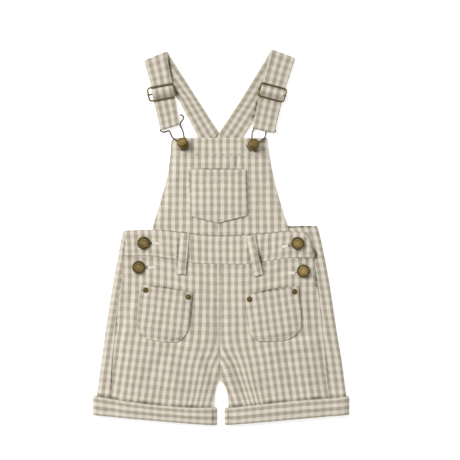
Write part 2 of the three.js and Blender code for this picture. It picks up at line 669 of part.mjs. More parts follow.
// A rounded rectangle of wire, as a closed curve
class RoundedFrame extends THREE.Curve {
  constructor(length, height, corner) {
    super();
    this.shape = new THREE.Shape();
    const x = length / 2 - corner;
    const y = height / 2 - corner;
    this.shape.absarc(x, y, corner, 0, Math.PI / 2);
    this.shape.absarc(-x, y, corner, Math.PI / 2, Math.PI);
    this.shape.absarc(-x, -y, corner, Math.PI, 1.5 * Math.PI);
    this.shape.absarc(x, -y, corner, 1.5 * Math.PI, 2 * Math.PI);
    this.shape.closePath();
  }

  getPoint(t) {
    const p = this.shape.getPointAt(((t % 1) + 1) % 1);
    return new THREE.Vector3(p.x, p.y, 0);
  }
}

function slider(strap) {
  const radius = BAR / 2;
  const frame = new RoundedFrame(SLIDER.length - BAR, SLIDER.height - BAR, SLIDER.corner);
  const ring = new THREE.TubeGeometry(frame, 32, radius, 6, true);
  const bar = new THREE.CylinderGeometry(radius, radius, SLIDER.length - BAR + 0.6, 6).rotateZ(Math.PI / 2);
  const collars = [-1, 1].map((end) => new THREE.CylinderGeometry(radius + 0.6, radius + 0.6, 2.4, 8)
    .translate(end * (SLIDER.length - BAR) / 2, 0, 0));
  const geometry = join(ring, bar, ...collars);
  const [x, y] = strap.slider.middle;
  return geometry.rotateZ(strap.slider.turn).translate(x, y, SLIDER_LEVEL);
}

// Bib buttons lean towards the straps that pull them
const BIB_BUTTONS = {
  left: { x: -46.4, y: 115.4, lean: 0.56, heading: 1.78 },
  right: { x: 40.2, y: 114, lean: 0.56, heading: 1.34 },
};
const FOOT = 2.7;

function lathe(rows, segments) {
  return new THREE.LatheGeometry(rows.map((p) => new THREE.Vector2(p.r, p.z)), segments).rotateX(Math.PI / 2);
}

const BIB_CAP = [
  { r: 0, z: 0 }, { r: 2, z: 0 }, { r: 2, z: 4.4 }, { r: 6, z: 4.6 }, { r: 7, z: 5.2 }, { r: 7, z: 7 },
  { r: 6.4, z: 7.8 }, { r: 5.4, z: 8.1 }, { r: 5, z: 7.8 }, { r: 3.6, z: 8.1 }, { r: 0, z: 8.1 },
];
const SIDE_CAP = [
  { r: 0, z: 0 }, { r: SHANK, z: 0 }, { r: SHANK, z: 2 }, { r: 7, z: 2.1 }, { r: 8.4, z: 2.9 },
  { r: 8.4, z: 3.7 }, { r: 7.8, z: 4.3 }, { r: 6.6, z: 4.6 }, { r: 6, z: 4.2 }, { r: 3.2, z: 4.4 },
  { r: 0, z: 4.5 },
];
const RIVETS = [
  { name: 'left_outer', x: -93.6, y: -65.6 }, { name: 'left_inner', x: -40.6, y: -74.2 },
  { name: 'right_inner', x: 35.6, y: -77 }, { name: 'right_outer', x: 91.4, y: -67.6 },
];
const RIVET = [
  { r: 0, z: 0 }, { r: 3.5, z: 0 }, { r: 3.5, z: 0.5 }, { r: 2.8, z: 0.9 }, { r: 1.6, z: 1 },
  { r: 1.2, z: 1.5 }, { r: 0, z: 1.6 },
];

function bibButton({ x, y, lean, heading }) {
  const seat = frontMiddle(x, y) + CLOTH / 2 + GAP;
  const cap = lathe(BIB_CAP, 16).rotateY(lean).rotateZ(heading).translate(x, y, seat + 1.3);
  const foot = new THREE.CylinderGeometry(FOOT, FOOT, 1.7, 16).rotateX(Math.PI / 2);
  return join(foot.translate(x, y, seat + 0.85), cap);
}

// Hook wires: the bar inside the strap's fold, a U-turn, one leg down and round the button's
// shank, and the other leg back up to a curl beside the strap.
const LOOP_RADIUS = FOOT + GAP + WIRE / 2 + 0.2;
const HOOKS = {
  left: {
    turn: [[-76.4, 136.2], [-76.8, 133.2], [-74.6, 131], [-70.6, 131.3], [-66, 132.8]],
    leg: [[-63.2, 131.2], [-61, 126], [-56.5, 121.6]],
    round: { from: 2.75, to: 2 * Math.PI + 0.55 },
    rise: [[-43.4, 122], [-42.8, 128], [-43.9, 133.5], [-46.8, 138]],
    curl: { x: -46.9, y: 148.4, r: 2.3, from: -1.9, to: 3.6 },
  },
  right: {
    turn: [[69.8, 133], [70.6, 130.2], [68.4, 128], [64.4, 128.2], [60.8, 129.6]],
    leg: [[57.4, 129.4], [55, 124.8], [51, 120.8]],
    round: { from: 0.5, to: 2.6 - 2 * Math.PI },
    rise: [[36.2, 120], [36.7, 127], [38.2, 132.6], [37.8, 139]],
    curl: { x: 37.2, y: 148.6, r: 2.3, from: -1.2, to: -6.4 },
  },
};

function hookPath(side) {
  const hook = HOOKS[side];
  const button = BIB_BUTTONS[side];
  const low = frontMiddle(button.x, button.y) + CLOTH / 2 + GAP + WIRE / 2 + 0.55;
  const points = [];
  const put = (list, from, to) => list.forEach(([x, y], i) => points.push(
    new THREE.Vector3(x, y, lerp(from, to, (i + 1) / list.length)),
  ));
  const [outer, neck] = hookLine(STRAPS[side]).line;
  const bar = [0.75, 0.4, 0.05].map((t) => outer.clone().lerp(neck, t).toArray());
  put(bar, WIRE_LEVEL, WIRE_LEVEL);
  put(hook.turn, WIRE_LEVEL, WIRE_LEVEL + 0.2);
  put(hook.leg, WIRE_LEVEL + 0.4, low);
  const turns = 6;
  for (let k = 0; k <= turns; k += 1) {
    const angle = lerp(hook.round.from, hook.round.to, k / turns);
    points.push(new THREE.Vector3(
      button.x + LOOP_RADIUS * Math.cos(angle), button.y + LOOP_RADIUS * Math.sin(angle), low,
    ));
  }
  put(hook.rise, low, WIRE_LEVEL + 0.3);
  const { x, y, r, from, to } = hook.curl;
  for (let k = 0; k <= 6; k += 1) {
    const angle = lerp(from, to, k / 6);
    points.push(new THREE.Vector3(x + r * Math.cos(angle), y + r * Math.sin(angle), WIRE_LEVEL + 0.3));
  }
  return new THREE.CatmullRomCurve3(points, false, 'centripetal');
}

function wire(path, steps, sides, diameter) {
  const section = new THREE.Shape(Array.from({ length: sides }, (_, i) => new THREE.Vector2(
    Math.cos(2 * Math.PI * i / sides), Math.sin(2 * Math.PI * i / sides),
  ).multiplyScalar(diameter / 2)));
  return new THREE.ExtrudeGeometry(section, { steps, extrudePath: path, bevelEnabled: false });
}

function strapsAndHardware() {
  for (const [side, strap] of Object.entries(STRAPS)) {
    add(`strap_${side}`, wall(strapRows(strap), CLOTH), CREAM);
    add(`slider_${side}`, slider(strap), BRASS, true);
    add(`hook_${side}`, wire(hookPath(side), 54, 6, WIRE), DARK_WIRE, true);
    add(`bib_button_${side}`, bibButton(BIB_BUTTONS[side]), BRASS, true);
  }
  for (const { name, x, y } of SIDE_BUTTONS) {
    const seat = SECOND_LAYER + CLOTH / 2 + GAP;
    add(`side_button_${name}`, lathe(SIDE_CAP, 16).translate(x, y, seat), BRASS, true);
  }
  for (const { name, x, y } of RIVETS) {
    add(`rivet_${name}`, lathe(RIVET, 10).translate(x, y, onFront(x, y) + CLOTH / 2 + GAP), BRASS, true);
  }
}

frontPanels();
patches();
backBib();
backWaistband();
backLegs();
cuffs();
strapsAndHardware();

export default model;
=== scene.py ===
# Gingham shortalls laid flat on their back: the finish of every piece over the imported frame.
# Sizes are millimetres in the garment's frame: +X to the right, +Y to the shoulders, +Z up.
import math
from functools import partial
from types import SimpleNamespace

import bpy
import numpy as np
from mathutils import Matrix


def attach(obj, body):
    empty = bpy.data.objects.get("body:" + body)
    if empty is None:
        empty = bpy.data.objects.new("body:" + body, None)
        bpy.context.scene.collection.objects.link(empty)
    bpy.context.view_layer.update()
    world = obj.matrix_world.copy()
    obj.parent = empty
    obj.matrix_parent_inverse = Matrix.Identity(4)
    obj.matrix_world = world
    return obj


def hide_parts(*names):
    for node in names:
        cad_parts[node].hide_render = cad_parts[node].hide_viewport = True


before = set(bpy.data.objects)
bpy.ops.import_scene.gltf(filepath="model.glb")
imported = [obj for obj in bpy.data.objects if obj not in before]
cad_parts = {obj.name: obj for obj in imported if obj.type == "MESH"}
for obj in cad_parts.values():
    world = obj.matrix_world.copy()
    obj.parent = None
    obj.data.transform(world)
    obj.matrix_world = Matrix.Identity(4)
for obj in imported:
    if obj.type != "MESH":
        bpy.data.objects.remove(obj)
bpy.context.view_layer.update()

MM = 0.001

# Driving dimensions of the garment
CLOTH = 1.1            # one thickness of the cotton
CUFF_CLOTH = 1.8       # the turned-up band, two thicknesses pressed together
GAP = 0.3              # between pieces that touch
SEAM = 0.2             # between the cut edges of two panels sewn together
ON_TOP = GAP + 0.1     # between the front and a patch or loop on it
WIRE = 1.6             # hook wire
BAR = 2.0              # slider wire
FLOOR_LAYER = CLOTH / 2                       # middle of the cloth that lies on the surface
SECOND_LAYER = FLOOR_LAYER + CLOTH + 0.4      # middle of the cloth folded over it
BAND_LEVEL = 2.9       # inner face of the front at the waistband, over two layers
EDGE_LEVEL = 1.5       # inner face of the front at the side seams
BIB_EDGE_LEVEL = 1.4   # inner face of the bib along its side edges
BULGE = 1.3            # extra rise in the middle of each leg front
CUFF_LIFT = CUFF_CLOTH + GAP + 0.1            # the leg rests on the back of its cuff
LIFT_RUN = 16          # length over which the leg climbs on to the cuff
CUFF_BEND = 2.5        # radius of the cuff's side folds, to the middle of the cloth
HEM_IN_CUFF = 15       # how far the leg runs down inside its cuff
CROTCH_Y = -180
CENTRE_X = -1.6        # centre front and centre back seams
BIB_TOP = 124
BACK_BIB_TOP = 130.6
BACK_BAND_SEAM = -46.2     # back waistband meets the back legs
HEM_LINE = 103.4       # stitching of the bib's top hem
EDGE_STITCH = 1.9      # stitching from the edge of a pocket
SEAM_STITCH = 2.2      # from the bib's sides and the centre seam
BAND_STITCH = 1.8      # from the waistband's top and bottom
TAB_STITCH = 2         # from its two ends

# About how wide and how long each panel is, which sets how many stations it has
BIB_SIZE = (150, 118)
BAND_SIZE = (236, 34)
LEG_SIZE = (126, 194)
LEG_GRAIN = 180        # length of the leg in the weave's pattern
POCKET_SIZE = (68, 68)
BACK_BIB_SIZE = (120, 118)
BACK_BAND_LENGTH = 60
BACK_LEG_LENGTH = 180

# Fineness of the meshes
VERY_FINE = 0.9       # grid pitch of narrow pieces
FINE = 1.1            # grid pitch of cloth that shows
COARSE = 2.4          # grid pitch of cloth that lies underneath
RIM = (0.0, 0.09, 0.26, 0.5)      # stations from an edge, which round it


# Curves and steps
def lerp(a, b, t):
    return a + (b - a) * t


def climb(x, start, end):
    """0 at start, 1 at end, smooth between, whichever of them is larger."""
    t = np.clip((x - start) / (end - start), 0, 1)
    return t * t * (3 - 2 * t)


def bell(away, width):
    """1 at no distance, falling to nothing within about twice the width."""
    return np.exp(-((away / width) ** 2))


def travelled(points):
    """The distance along a row of points, from 0."""
    return np.concatenate([[0], np.cumsum(np.linalg.norm(np.diff(points, axis=0), axis=1))])


def table(header, *rows):
    """The rows of a short table, each with the header's column names."""
    names = header.split()
    return [SimpleNamespace(**dict(zip(names, row))) for row in rows]


def smooth(key, value, at):
    """A smooth curve through value[i] at key[i], and straight on beyond its ends."""
    wide = (...,) + (None,) * (value.ndim - 1)
    before = np.maximum(np.arange(len(key)) - 1, 0)
    after = np.minimum(np.arange(len(key)) + 1, len(key) - 1)
    slope = (value[after] - value[before]) / (key[after] - key[before])[wide]
    i = np.clip(np.searchsorted(key, at) - 1, 0, len(key) - 2)
    span = (key[i + 1] - key[i])[wide]
    past = (at - key[i])[wide] / span
    t = np.clip(past, 0, 1)
    inside = (2 * t**3 - 3 * t**2 + 1) * value[i] + (t**3 - 2 * t**2 + t) * span * slope[i]
    inside += (3 * t**2 - 2 * t**3) * value[i + 1] + (t**3 - t**2) * span * slope[i + 1]
    beyond = np.where(past > 1, slope[i + 1] * (past - 1) * span, 0)
    return inside + np.where(past < 0, slope[i] * past * span, beyond)


def through(header, *rows):
    """A smooth curve through a table of two columns: the second as a function of the first."""
    first, second = header.split()
    points = table(header, *sorted(rows))
    key = np.array([getattr(p, first) for p in points], float)
    value = np.array([getattr(p, second) for p in points], float)
    return lambda at: smooth(key, value, np.asarray(at, float))


# Outlines, as seen from above
waist_top = through(
    "x y", (-121.2, 8.7), (-85, 9.4), (-60, 7.4), (-35, 4.2), (-8.8, 2), (17.7, 2.2), (52.5, 4.6),
    (83.8, 7.4), (106.6, 5.6))
waist_bottom = through(
    "x y", (-122.6, -23.1), (-83.8, -23.4), (-70, -25.8), (-56.9, -27.6), (-40.1, -31.6), (-1.6, -33.4),
    (33.5, -33.4), (52.7, -30.5), (83.8, -25.8), (115.6, -25.3))

LEFT = SimpleNamespace(
    name="left",
    sign=-1,
    silhouette=through(
        "y x", (8.7, -122.1), (-5.2, -125.3), (-23.1, -128.4), (-42.6, -132.3), (-94.7, -140.9),
        (-129.7, -146.1), (-155.9, -149.6), (-196.6, -154.9)),
    side_seam=through(
        "y x", (-23.1, -122.6), (-42, -122.4), (-59.7, -123.6), (-78.4, -127.9), (-120.9, -131.6),
        (-147.2, -134.8), (-173.4, -136.6), (-215, -137.6)),
    inseam=through(
        "y x", (-30, CENTRE_X), (-150, CENTRE_X), (-176, CENTRE_X), (-179.4, -2), (-181.4, -3), (-184, -4.2),
        (-188, -5.6), (-194, -6.9), (-207, -8.2), (-214, -9.6), (-229, -10.4)),
    cuff_top=through(
        "x y", (-159, -197.4), (-140.1, -200.6), (-119.1, -204.1), (-76.2, -209.2), (-40.9, -211.8),
        (-5, -212.2)),
    cuff_bottom=through(
        "x y", (-159.5, -221.3), (-116.2, -225.1), (-76.2, -228.6), (-17, -233.4), (-5, -234)),
    cuff_span=(-159.8, -4.8),
    tab_edge=through("y x", (9, -121.2), (-5.2, -119.4), (-26, -122.6)),
    underlap_band=-72,
    underlap_leg=-106,
    fold_start=9,        # where the cloth drawn in towards the crotch begins, from the centre seam
    fold_slope=0.3,
    fold_pull=0.1,
)
RIGHT = SimpleNamespace(
    name="right",
    sign=1,
    silhouette=through(
        "y x", (14.8, 119.5), (4.8, 122.7), (-14.7, 127), (-37.1, 131.6), (-56.6, 135.1), (-115.7, 144.1),
        (-157.2, 151), (-195.3, 155.8)),
    side_seam=through(
        "y x", (-23.1, 115.6), (-42, 117.4), (-62.2, 120.8), (-90, 124.4), (-123.4, 127.6), (-147, 130.4),
        (-174.7, 133.2), (-215, 136)),
    inseam=through(
        "y x", (-30, CENTRE_X), (-150, CENTRE_X), (-176, CENTRE_X), (-179.4, -0.6), (-181.4, 1.4),
        (-184, 3.4), (-188, 5.6), (-194, 7.4), (-207, 8.8), (-214, 9.2), (-229, 9.4)),
    cuff_top=through(
        "x y", (4.5, -212.8), (30, -210.2), (73.8, -205.4), (113.3, -201.8), (142.5, -200), (159.4, -197.6)),
    cuff_bottom=through("x y", (4.5, -234), (30, -231.8), (73.8, -228), (115, -224.4), (159.9, -220.9)),
    cuff_span=(4.3, 160),
    tab_edge=through("y x", (7, 106.4), (-5.2, 110.4), (-16, 113.8), (-26, 115.4)),
    underlap_band=73,
    underlap_leg=102,
    fold_start=15,
    fold_slope=0.4,
    fold_pull=0.2,
)
SIDES = (LEFT, RIGHT)

bib_left = through(
    "y x", (124.1, -57.8), (121.8, -60.8), (118, -62.2), (104, -63.2), (81.4, -66), (60, -71.2),
    (38.4, -77.6), (9.5, -86))
bib_right = through(
    "y x", (123.7, 57.9), (104, 60.2), (86.2, 63.1), (66, 67.8), (47.9, 72.6), (25, 79.6), (7, 85.2))


def by_side(name, x, at):
    """A side's curve, on the side of the centre seam that x is on."""
    return np.where(x < CENTRE_X, getattr(LEFT, name)(at), getattr(RIGHT, name)(at))


# Creases, placed one by one: troughs (negative) and ridges between two points, tapering at their ends
MARK = "x0 y0 x1 y1 rise width"
HIP_CREASES = table(
    MARK,
    (12, -144, 36, -208, -2.6, 9),         # deep diagonal trough from the crotch to the right cuff
    (3, -150, 20, -204, 1.5, 9),           # ridge inside it, round the inner curve of the leg
    (27, -146, 54, -202, 1.2, 12),
    (44, -133, 122, -117, -1.5, 8),        # below the right hip pocket
    (52, -144, 126, -131, 1.0, 10),
    (-101, -121, -44, -131, -1.1, 8),      # below the left hip pocket
    (-98, -134, -50, -143, 0.8, 11),
    (-96, -178, -62, -140, -1.0, 12),
    (-118, -150, -88, -196, 1.0, 13),
    (-70, -150, -52, -204, 0.8, 14),
    (-34, -140, -14, -196, 1.2, 12),
    (-24, -130, -9, -182, -1.2, 7),
    (-1.6, -92, -1.6, -162, -1.1, 5),      # sunk along the centre seam
    (12, -92, 15, -142, 0.9, 9),
    (-16, -88, -18, -150, 0.8, 9),
    (108, -70, 116, -120, -1.1, 6),        # beside the right pocket
    (112, -100, 122, -172, 0.9, 8),
    (-113, -64, -117, -112, -1.1, 6),      # beside the left pocket
    (-110, -88, -122, -140, 0.9, 8),
    (-88, -30, -60, -56, -1.0, 9),
    (84, -32, 60, -60, -1.0, 9),
    (-30, -40, -22, -84, 0.8, 10),
    (22, -38, 26, -90, 0.8, 11),
    (76, -140, 96, -196, -1.0, 11),
    (98, -148, 114, -196, 0.9, 9),
)
BIB_CREASES = table(
    MARK,
    (34.5, 86, 35.5, 30, -1.0, 4),         # along the pocket's right edge
    (52, 66, 54, 24, -1.1, 6),
    (62, 96, 66, 40, 0.8, 6),
    (-44, 84, -43, 40, -0.9, 5),
    (-56, 96, -62, 44, 0.8, 7),
    (21, 103, 18, 87, -1.0, 4),            # short crease above the pocket
    (10, 114, 12, 92, 0.6, 5),
    (-4.5, 17, -4.5, 4, -0.9, 3),          # below the pocket's point
    (-30, 116, -34, 94, 0.4, 6),
    (-60, 30, -40, 14, -0.5, 6),
    (44, 28, 62, 14, -0.5, 6),
)
BAND_CREASES = table(
    MARK,
    (-66, 2, -60, -24, -0.6, 5),
    (-30, 0, -26, -30, 0.4, 6),
    (8, 0, 12, -30, -0.4, 6),
    (60, 2, 66, -24, -0.6, 5),
    (84, -2, 78, -22, 0.4, 6),
    (-80, -12, -92, -10, -0.4, 4),
    (-22, -16, 22, -18, -0.3, 7),
)

# Painted shade: gaps between layers, where little light gets in, and shadows under the straps and buttons,
# darkened on the cloth: rise is how dark they are
CREVICES = table(
    MARK,
    (-52.6, -2, -55.6, -40, 1.0, 2.8),     # left belt loop
    (-42, -26, -43.6, -46, 0.9, 2.4),
    (-56, -46.6, -43, -46.8, 0.8, 1.8),
    (43.6, 2, 45.4, -18, 0.7, 2.2),        # right belt loop
    (45, -13, 53.4, -43, 1.7, 3.2),
    (40.4, -50.6, 53, -47, 0.8, 1.8),
    (31.8, -14, 38.2, -38, 0.5, 2.2),
    (-90, -60.6, -62, -63.4, 1.0, 2),      # left hip pocket
    (-70, -62.6, -37, -68.6, 0.8, 2),
    (-36.4, -74, -40, -116, 1.1, 2.4),
    (-71, -131.2, -45, -124, 0.8, 2.2),
    (-100.6, -66, -104, -104, 0.4, 2.2),
    (38, -70.2, 66, -64.4, 0.9, 2),        # right hip pocket
    (52, -67.4, 84, -61.8, 1.1, 2),
    (97.4, -64, 98.2, -84, 0.7, 2.2),
    (100.6, -88, 99, -116, 0.6, 2.2),
    (48, -130.2, 94, -124.6, 0.6, 2.2),
    (31, -84, 34, -110, 0.4, 2.2),
    (-34, 85.2, 20, 84.9, 1.1, 2.2),       # chest pocket
    (14, 85, 32, 84.8, 0.4, 2),
    (31.4, 82, 32.2, 50, 0.8, 2.4),
    (33, 56, 33.6, 30, 0.4, 2.2),
    (-3.9, 16.6, 33, 26.6, 0.8, 2),
    (-36, 26.4, -6, 18, 0.4, 2),
    (-39.6, 82, -38.4, 56, 0.7, 2.8),
    (-4.4, 17, -4.6, 4, 0.7, 1.8),
    (20.6, 102, 18.4, 88, 0.6, 2),
    (-119.4, 2, -122.8, -26, 0.9, 2.4),    # tab ends
    (108, 5, 116.4, -17, 1.2, 2.2),
    (115.6, -15.4, 118.6, -22.6, 2.0, 3),
    (118.8, -19.6, 117, -27.2, 2.6, 3.6),
    (84.4, 12.9, 90, 12.6, 2.2, 2.2),      # top edge of the back waistband
    (94, 13.2, 104.6, 13.6, 1.9, 2),
    (107, 13.4, 113.6, 13.4, 2, 2),
    (97.4, -33.4, 108.2, -33.8, 1.0, 1.8),
    (-122, -24.4, -100, -24.2, 0.6, 2),
    (-84, -24.4, -56, -28.6, 0.5, 2),
    (94, -26.4, 116, -26.2, 0.9, 2.4),
    (-124, -50, -125, -64, 0.7, 2.6),      # side seams
    (-130, -96, -131.6, -122, 0.9, 2.6),
    (-134.8, -142, -137.2, -190, 0.9, 2.2),
    (117.6, -44, 119.6, -66, 1.5, 2.8),
    (124.4, -86, 127, -112, 0.5, 2.2),
    (130, -146, 134, -186, 0.8, 2.2),
    (-9.2, -213, -10, -233, 1.1, 2),       # inner ends of the cuffs
    (8.8, -214, 9.2, -233, 1.0, 2),
    (-66.6, 231, -62.6, 206, 1.1, 3.4),    # under the front straps
    (-67, 219, -61.5, 202, 1.6, 4),
    (-62, 206, -56, 174, 0.5, 3),
    (-60, 187, -53.6, 178, 1.5, 3.2),
    (49, 182, 45, 164, 0.8, 2.6),
    (44.8, 171, 42.6, 154, 1.4, 2.6),
    (41.8, 153, 38.4, 147, 2.4, 2.4),
    (66, 232, 58, 206, 0.4, 2.4),
    (-50.8, 109.8, -42, 109.8, 2.8, 3.8),  # under the bib buttons
    (-42.4, 110.8, -39.8, 116, 1.8, 3),
    (32.4, 114.6, 37.6, 108.6, 2.6, 3.2),
    (37, 108.2, 45.4, 108, 2.8, 3.6),
)


def creases(x, y, rows):
    """The sum of soft marks along the rows' lines, each strongest in its middle."""
    total = np.zeros_like(x)
    for row in rows:
        dx, dy = row.x1 - row.x0, row.y1 - row.y0
        along = np.clip(((x - row.x0) * dx + (y - row.y0) * dy) / (dx * dx + dy * dy), 0, 1)
        away = np.hypot(x - row.x0 - along * dx, y - row.y0 - along * dy)
        across = np.cos(np.minimum(away / row.width, 1) * np.pi / 2) ** 2
        total += row.rise * across * np.sin(np.pi * (0.12 + 0.76 * along))
    return total


def rumple(x, y, size, seed):
    """Small uneven waves, between -1 and 1, of about that size."""
    total = np.zeros_like(x)
    for k in range(5):
        heading = seed * 1.7 + k * 2.399
        wave = size * (1 + 0.37 * math.sin(seed * 3.1 + k * 1.9))
        phase = seed * 2.3 + k * 4.1
        total += np.sin(2 * np.pi * (x * math.cos(heading) + y * math.sin(heading)) / wave + phase)
    return total / 5


# Side buttons: which way their buttonhole runs and how far off its round end is, and how the cap leans
SIDE_BUTTONS = table(
    "name x y towards turn hole lean heading",
    ("left_upper", -96.6, -7.2, 1, -0.04, 10.2, 0.2, 0.1),
    ("left_lower", -102.9, -37.6, 1, 0.0, 11.2, 0.18, 0.5),
    ("right_upper", 95.6, -8.2, -1, 0.2, 11.4, 0.18, 1.7),
    ("right_lower", 103.2, -42.6, -1, 0.15, 9.8, 0.24, 2.4),
)
HOLE_SHADE = 1.8       # how dark the painted shade is round the holes
HOLE_REACH = 1.8       # and how far from them
DARKEST = 1.6          # of any painted shade


def at_holes(x, y):
    """How much painted shade the cloth takes round the near ends of the buttonholes and under them."""
    shade = np.zeros_like(x)
    for b in SIDE_BUTTONS:
        hole_x = b.x + b.towards * b.hole * math.cos(b.turn)
        hole_y = b.y + b.towards * b.hole * math.sin(b.turn)
        shade += HOLE_SHADE * bell(np.hypot(x - hole_x, y - hole_y), HOLE_REACH)
    return shade


def crevice(x, y):
    """How much painted shade a point of the cloth takes, from 0 to the darkest: in gaps between layers, above
    the cuffs, along the waistband's edges, the bib's hem and the centre seam, and round the buttonholes.
    """
    above_cuff = y - by_side("cuff_top", x, x)
    uneven = 0.62 + 0.3 * np.sin(x / 8.3) + 0.22 * np.sin(x / 3.1 + 1)
    at_cuff = bell(above_cuff - 1.6, 2.2) * np.where(above_cuff > -0.6, uneven, 0)
    from_waist = np.minimum(np.abs(y - waist_top(x)), np.abs(y - waist_bottom(x)))
    dashes = np.clip(0.3 + 0.5 * np.sin(x / 1.9 + 2 * np.sin(x / 13)), 0, 1)
    at_waist = 0.38 * bell(from_waist, 1.1) * dashes
    at_hem = 0.7 * bell(y - HEM_LINE + 0.5, 1.0) * dashes * climb(x, -60, -40) * climb(x, 60, 40)
    at_centre = 0.45 * bell(x - CENTRE_X, 0.9) * climb(y, -30, -36)
    broken = 0.74 + 0.26 * np.sin((x + y) / 1.7 + 2.5 * np.sin((x - y) / 11))
    gaps = broken * creases(x, y, CREVICES) + at_holes(x, y)
    return np.clip(gaps + np.maximum(at_cuff, at_waist + at_hem) + at_centre, 0, DARKEST)


def puckers(along, away, pitch, depth, reach, seed):
    """Short gathers beside a seam: waves along it that fade with the distance from it."""
    uneven = along + 0.35 * pitch * np.sin(along / (2.7 * pitch) + seed)
    strength = 0.65 + 0.35 * np.sin(along / (4.3 * pitch) + 2.1 * seed)
    return depth * strength * np.sin(2 * np.pi * uneven / pitch + seed) * bell(away, reach)


def groove(away, depth, reach):
    """The dip that a row of stitches pulls into the cloth."""
    return -depth * bell(away, reach)


# Levels of the cloth above the surface
def lift(x, y):
    top = by_side("cuff_top", x, x)
    return CUFF_LIFT * climb(y, top + LIFT_RUN, top + 1)


def hip_level(x, y):
    seam = by_side("side_seam", x, y)
    inner = by_side("inseam", x, y)
    across = np.clip((x - seam) / (inner - seam), 0, 1)
    edge = lerp(EDGE_LEVEL, BAND_LEVEL, climb(y, -86, -68))
    body = BAND_LEVEL + BULGE * np.sin(np.pi * across) * climb(y, -34, -80) * climb(y, -214, -170)
    from_seam = climb(np.abs(x - seam), 0, 20)
    from_inseam = lerp(1, climb(np.abs(x - inner), -2, 22), climb(y, CROTCH_Y + 14, CROTCH_Y - 6))
    return lerp(EDGE_LEVEL, lerp(edge, body, from_seam), from_inseam) + lift(x, y)


def bib_level(x, y):
    inside = np.minimum(x - bib_left(y), bib_right(y) - x)
    edge = lerp(BIB_EDGE_LEVEL, BAND_LEVEL, climb(y, 34, 14))
    middle = BAND_LEVEL + 0.8 * climb(y, 14, 50) * climb(y, 120, 90) * climb(inside, 8, 50)
    return lerp(edge, middle, climb(inside, 0, 12))


def leg_cloth(x, y):
    """Middle of the front leg's cloth, with its creases and the pull of its seams."""
    seam = np.abs(x - by_side("side_seam", x, y))
    inner = np.abs(x - by_side("inseam", x, y))
    below_band = waist_bottom(x) - y
    free = climb(seam, 2, 14) * climb(inner, -1, 8) * climb(y, -211, -200)
    z = hip_level(x, y) + CLOTH / 2
    z += creases(x, y, HIP_CREASES) * climb(y, -214, -204) * climb(seam, 0, 8)
    z += (0.34 * rumple(x, y, 34, 1) + 0.14 * rumple(x, y, 13, 2)) * free
    z += puckers(y, seam, 7.5, 0.3, 5, 1) * climb(y, -66, -80)
    z += puckers(y, inner, 6.5, 0.24, 5, 2) * climb(y, -208, -196)
    z += puckers(x, below_band, 6.8, 0.28, 6, 3)
    return z + groove(inner - SEAM_STITCH, 0.25, 0.8)


def band_cloth(x, y):
    z = hip_level(x, np.minimum(y, waist_bottom(x))) + CLOTH / 2
    from_top = waist_top(x) - y
    from_bottom = y - waist_bottom(x)
    z += creases(x, y, BAND_CREASES) * climb(from_top, 0, 6) * climb(from_bottom, 0, 6)
    z += 0.18 * rumple(x, y, 17, 3)
    z += puckers(x, from_top, 7.1, 0.22, 5, 4) + puckers(x, from_bottom, 6.3, 0.22, 5, 5)
    z += groove(from_top - BAND_STITCH, 0.25, 0.8) + groove(from_bottom - BAND_STITCH, 0.25, 0.8)
    from_end = np.minimum(np.abs(x - LEFT.tab_edge(y)), np.abs(x - RIGHT.tab_edge(y)))
    return z + groove(from_end - TAB_STITCH, 0.25, 0.8)


def bib_cloth(x, y):
    inside = np.minimum(x - bib_left(y), bib_right(y) - x)
    above_band = y - waist_top(x)
    z = bib_level(x, y) + CLOTH / 2
    z += creases(x, y, BIB_CREASES) * climb(inside, 0, 6) * climb(above_band, 0, 5)
    z += (0.26 * rumple(x, y, 27, 5) + 0.12 * rumple(x, y, 11, 6)) * climb(inside, 0, 8)
    z += puckers(y, inside, 7.4, 0.24, 5, 6) + puckers(x, above_band, 6.6, 0.26, 5.5, 7)
    z += puckers(x, np.abs(y - HEM_LINE), 7.8, 0.16, 5, 8)
    hem = 0.4 * climb(y, HEM_LINE - 0.2, HEM_LINE + 1)
    return z + hem + groove(y - HEM_LINE - 0.5, 0.28, 0.8) + groove(inside - SEAM_STITCH, 0.25, 0.8)


def front_cloth(x, y):
    lower = np.where(y > waist_bottom(x), band_cloth(x, y), leg_cloth(x, y))
    return np.where(y > waist_top(x), bib_cloth(x, y), lower)


# Meshes
def linked(name, data):
    """A new object in the scene."""
    obj = bpy.data.objects.new(name, data)
    bpy.context.scene.collection.objects.link(obj)
    return obj


def new_object(name, points, faces, uv=None, material=None, dark=None):
    """A smooth mesh object from points in millimetres and faces of 3 or 4 corners.

    uv and dark, the painted shade of a point in a gap or groove (on metal, its patina and painted shade),
    have one row a point."""
    mesh = bpy.data.meshes.new(name)
    mesh.vertices.add(len(points))
    mesh.vertices.foreach_set("co", (np.asarray(points, float) * MM).ravel())
    corners = np.concatenate([np.asarray(f, int).ravel() for f in faces])
    sizes = np.concatenate([np.full(len(f), f.shape[1]) for f in faces])
    mesh.loops.add(len(corners))
    mesh.loops.foreach_set("vertex_index", corners)
    mesh.polygons.add(len(sizes))
    mesh.polygons.foreach_set("loop_start", np.concatenate([[0], np.cumsum(sizes)[:-1]]))
    mesh.polygons.foreach_set("use_smooth", np.full(len(sizes), True))
    if uv is not None:
        layer = mesh.uv_layers.new(name="weave")
        layer.data.foreach_set("uv", (np.asarray(uv, float) * MM)[corners].ravel())
    if dark is not None:
        shade = mesh.attributes.new("crevice", "FLOAT", "POINT")
        shade.data.foreach_set("value", np.asarray(dark, float).ravel())
    mesh.update(calc_edges=True)
    mesh.validate()
    if material:
        mesh.materials.append(material)
    return linked(name, mesh)


def grid_faces(index):
    """The faces of a grid of points, given as their places in the list of points."""
    return np.stack([index[:-1, :-1], index[:-1, 1:], index[1:, 1:], index[1:, :-1]], -1).reshape(-1, 4)


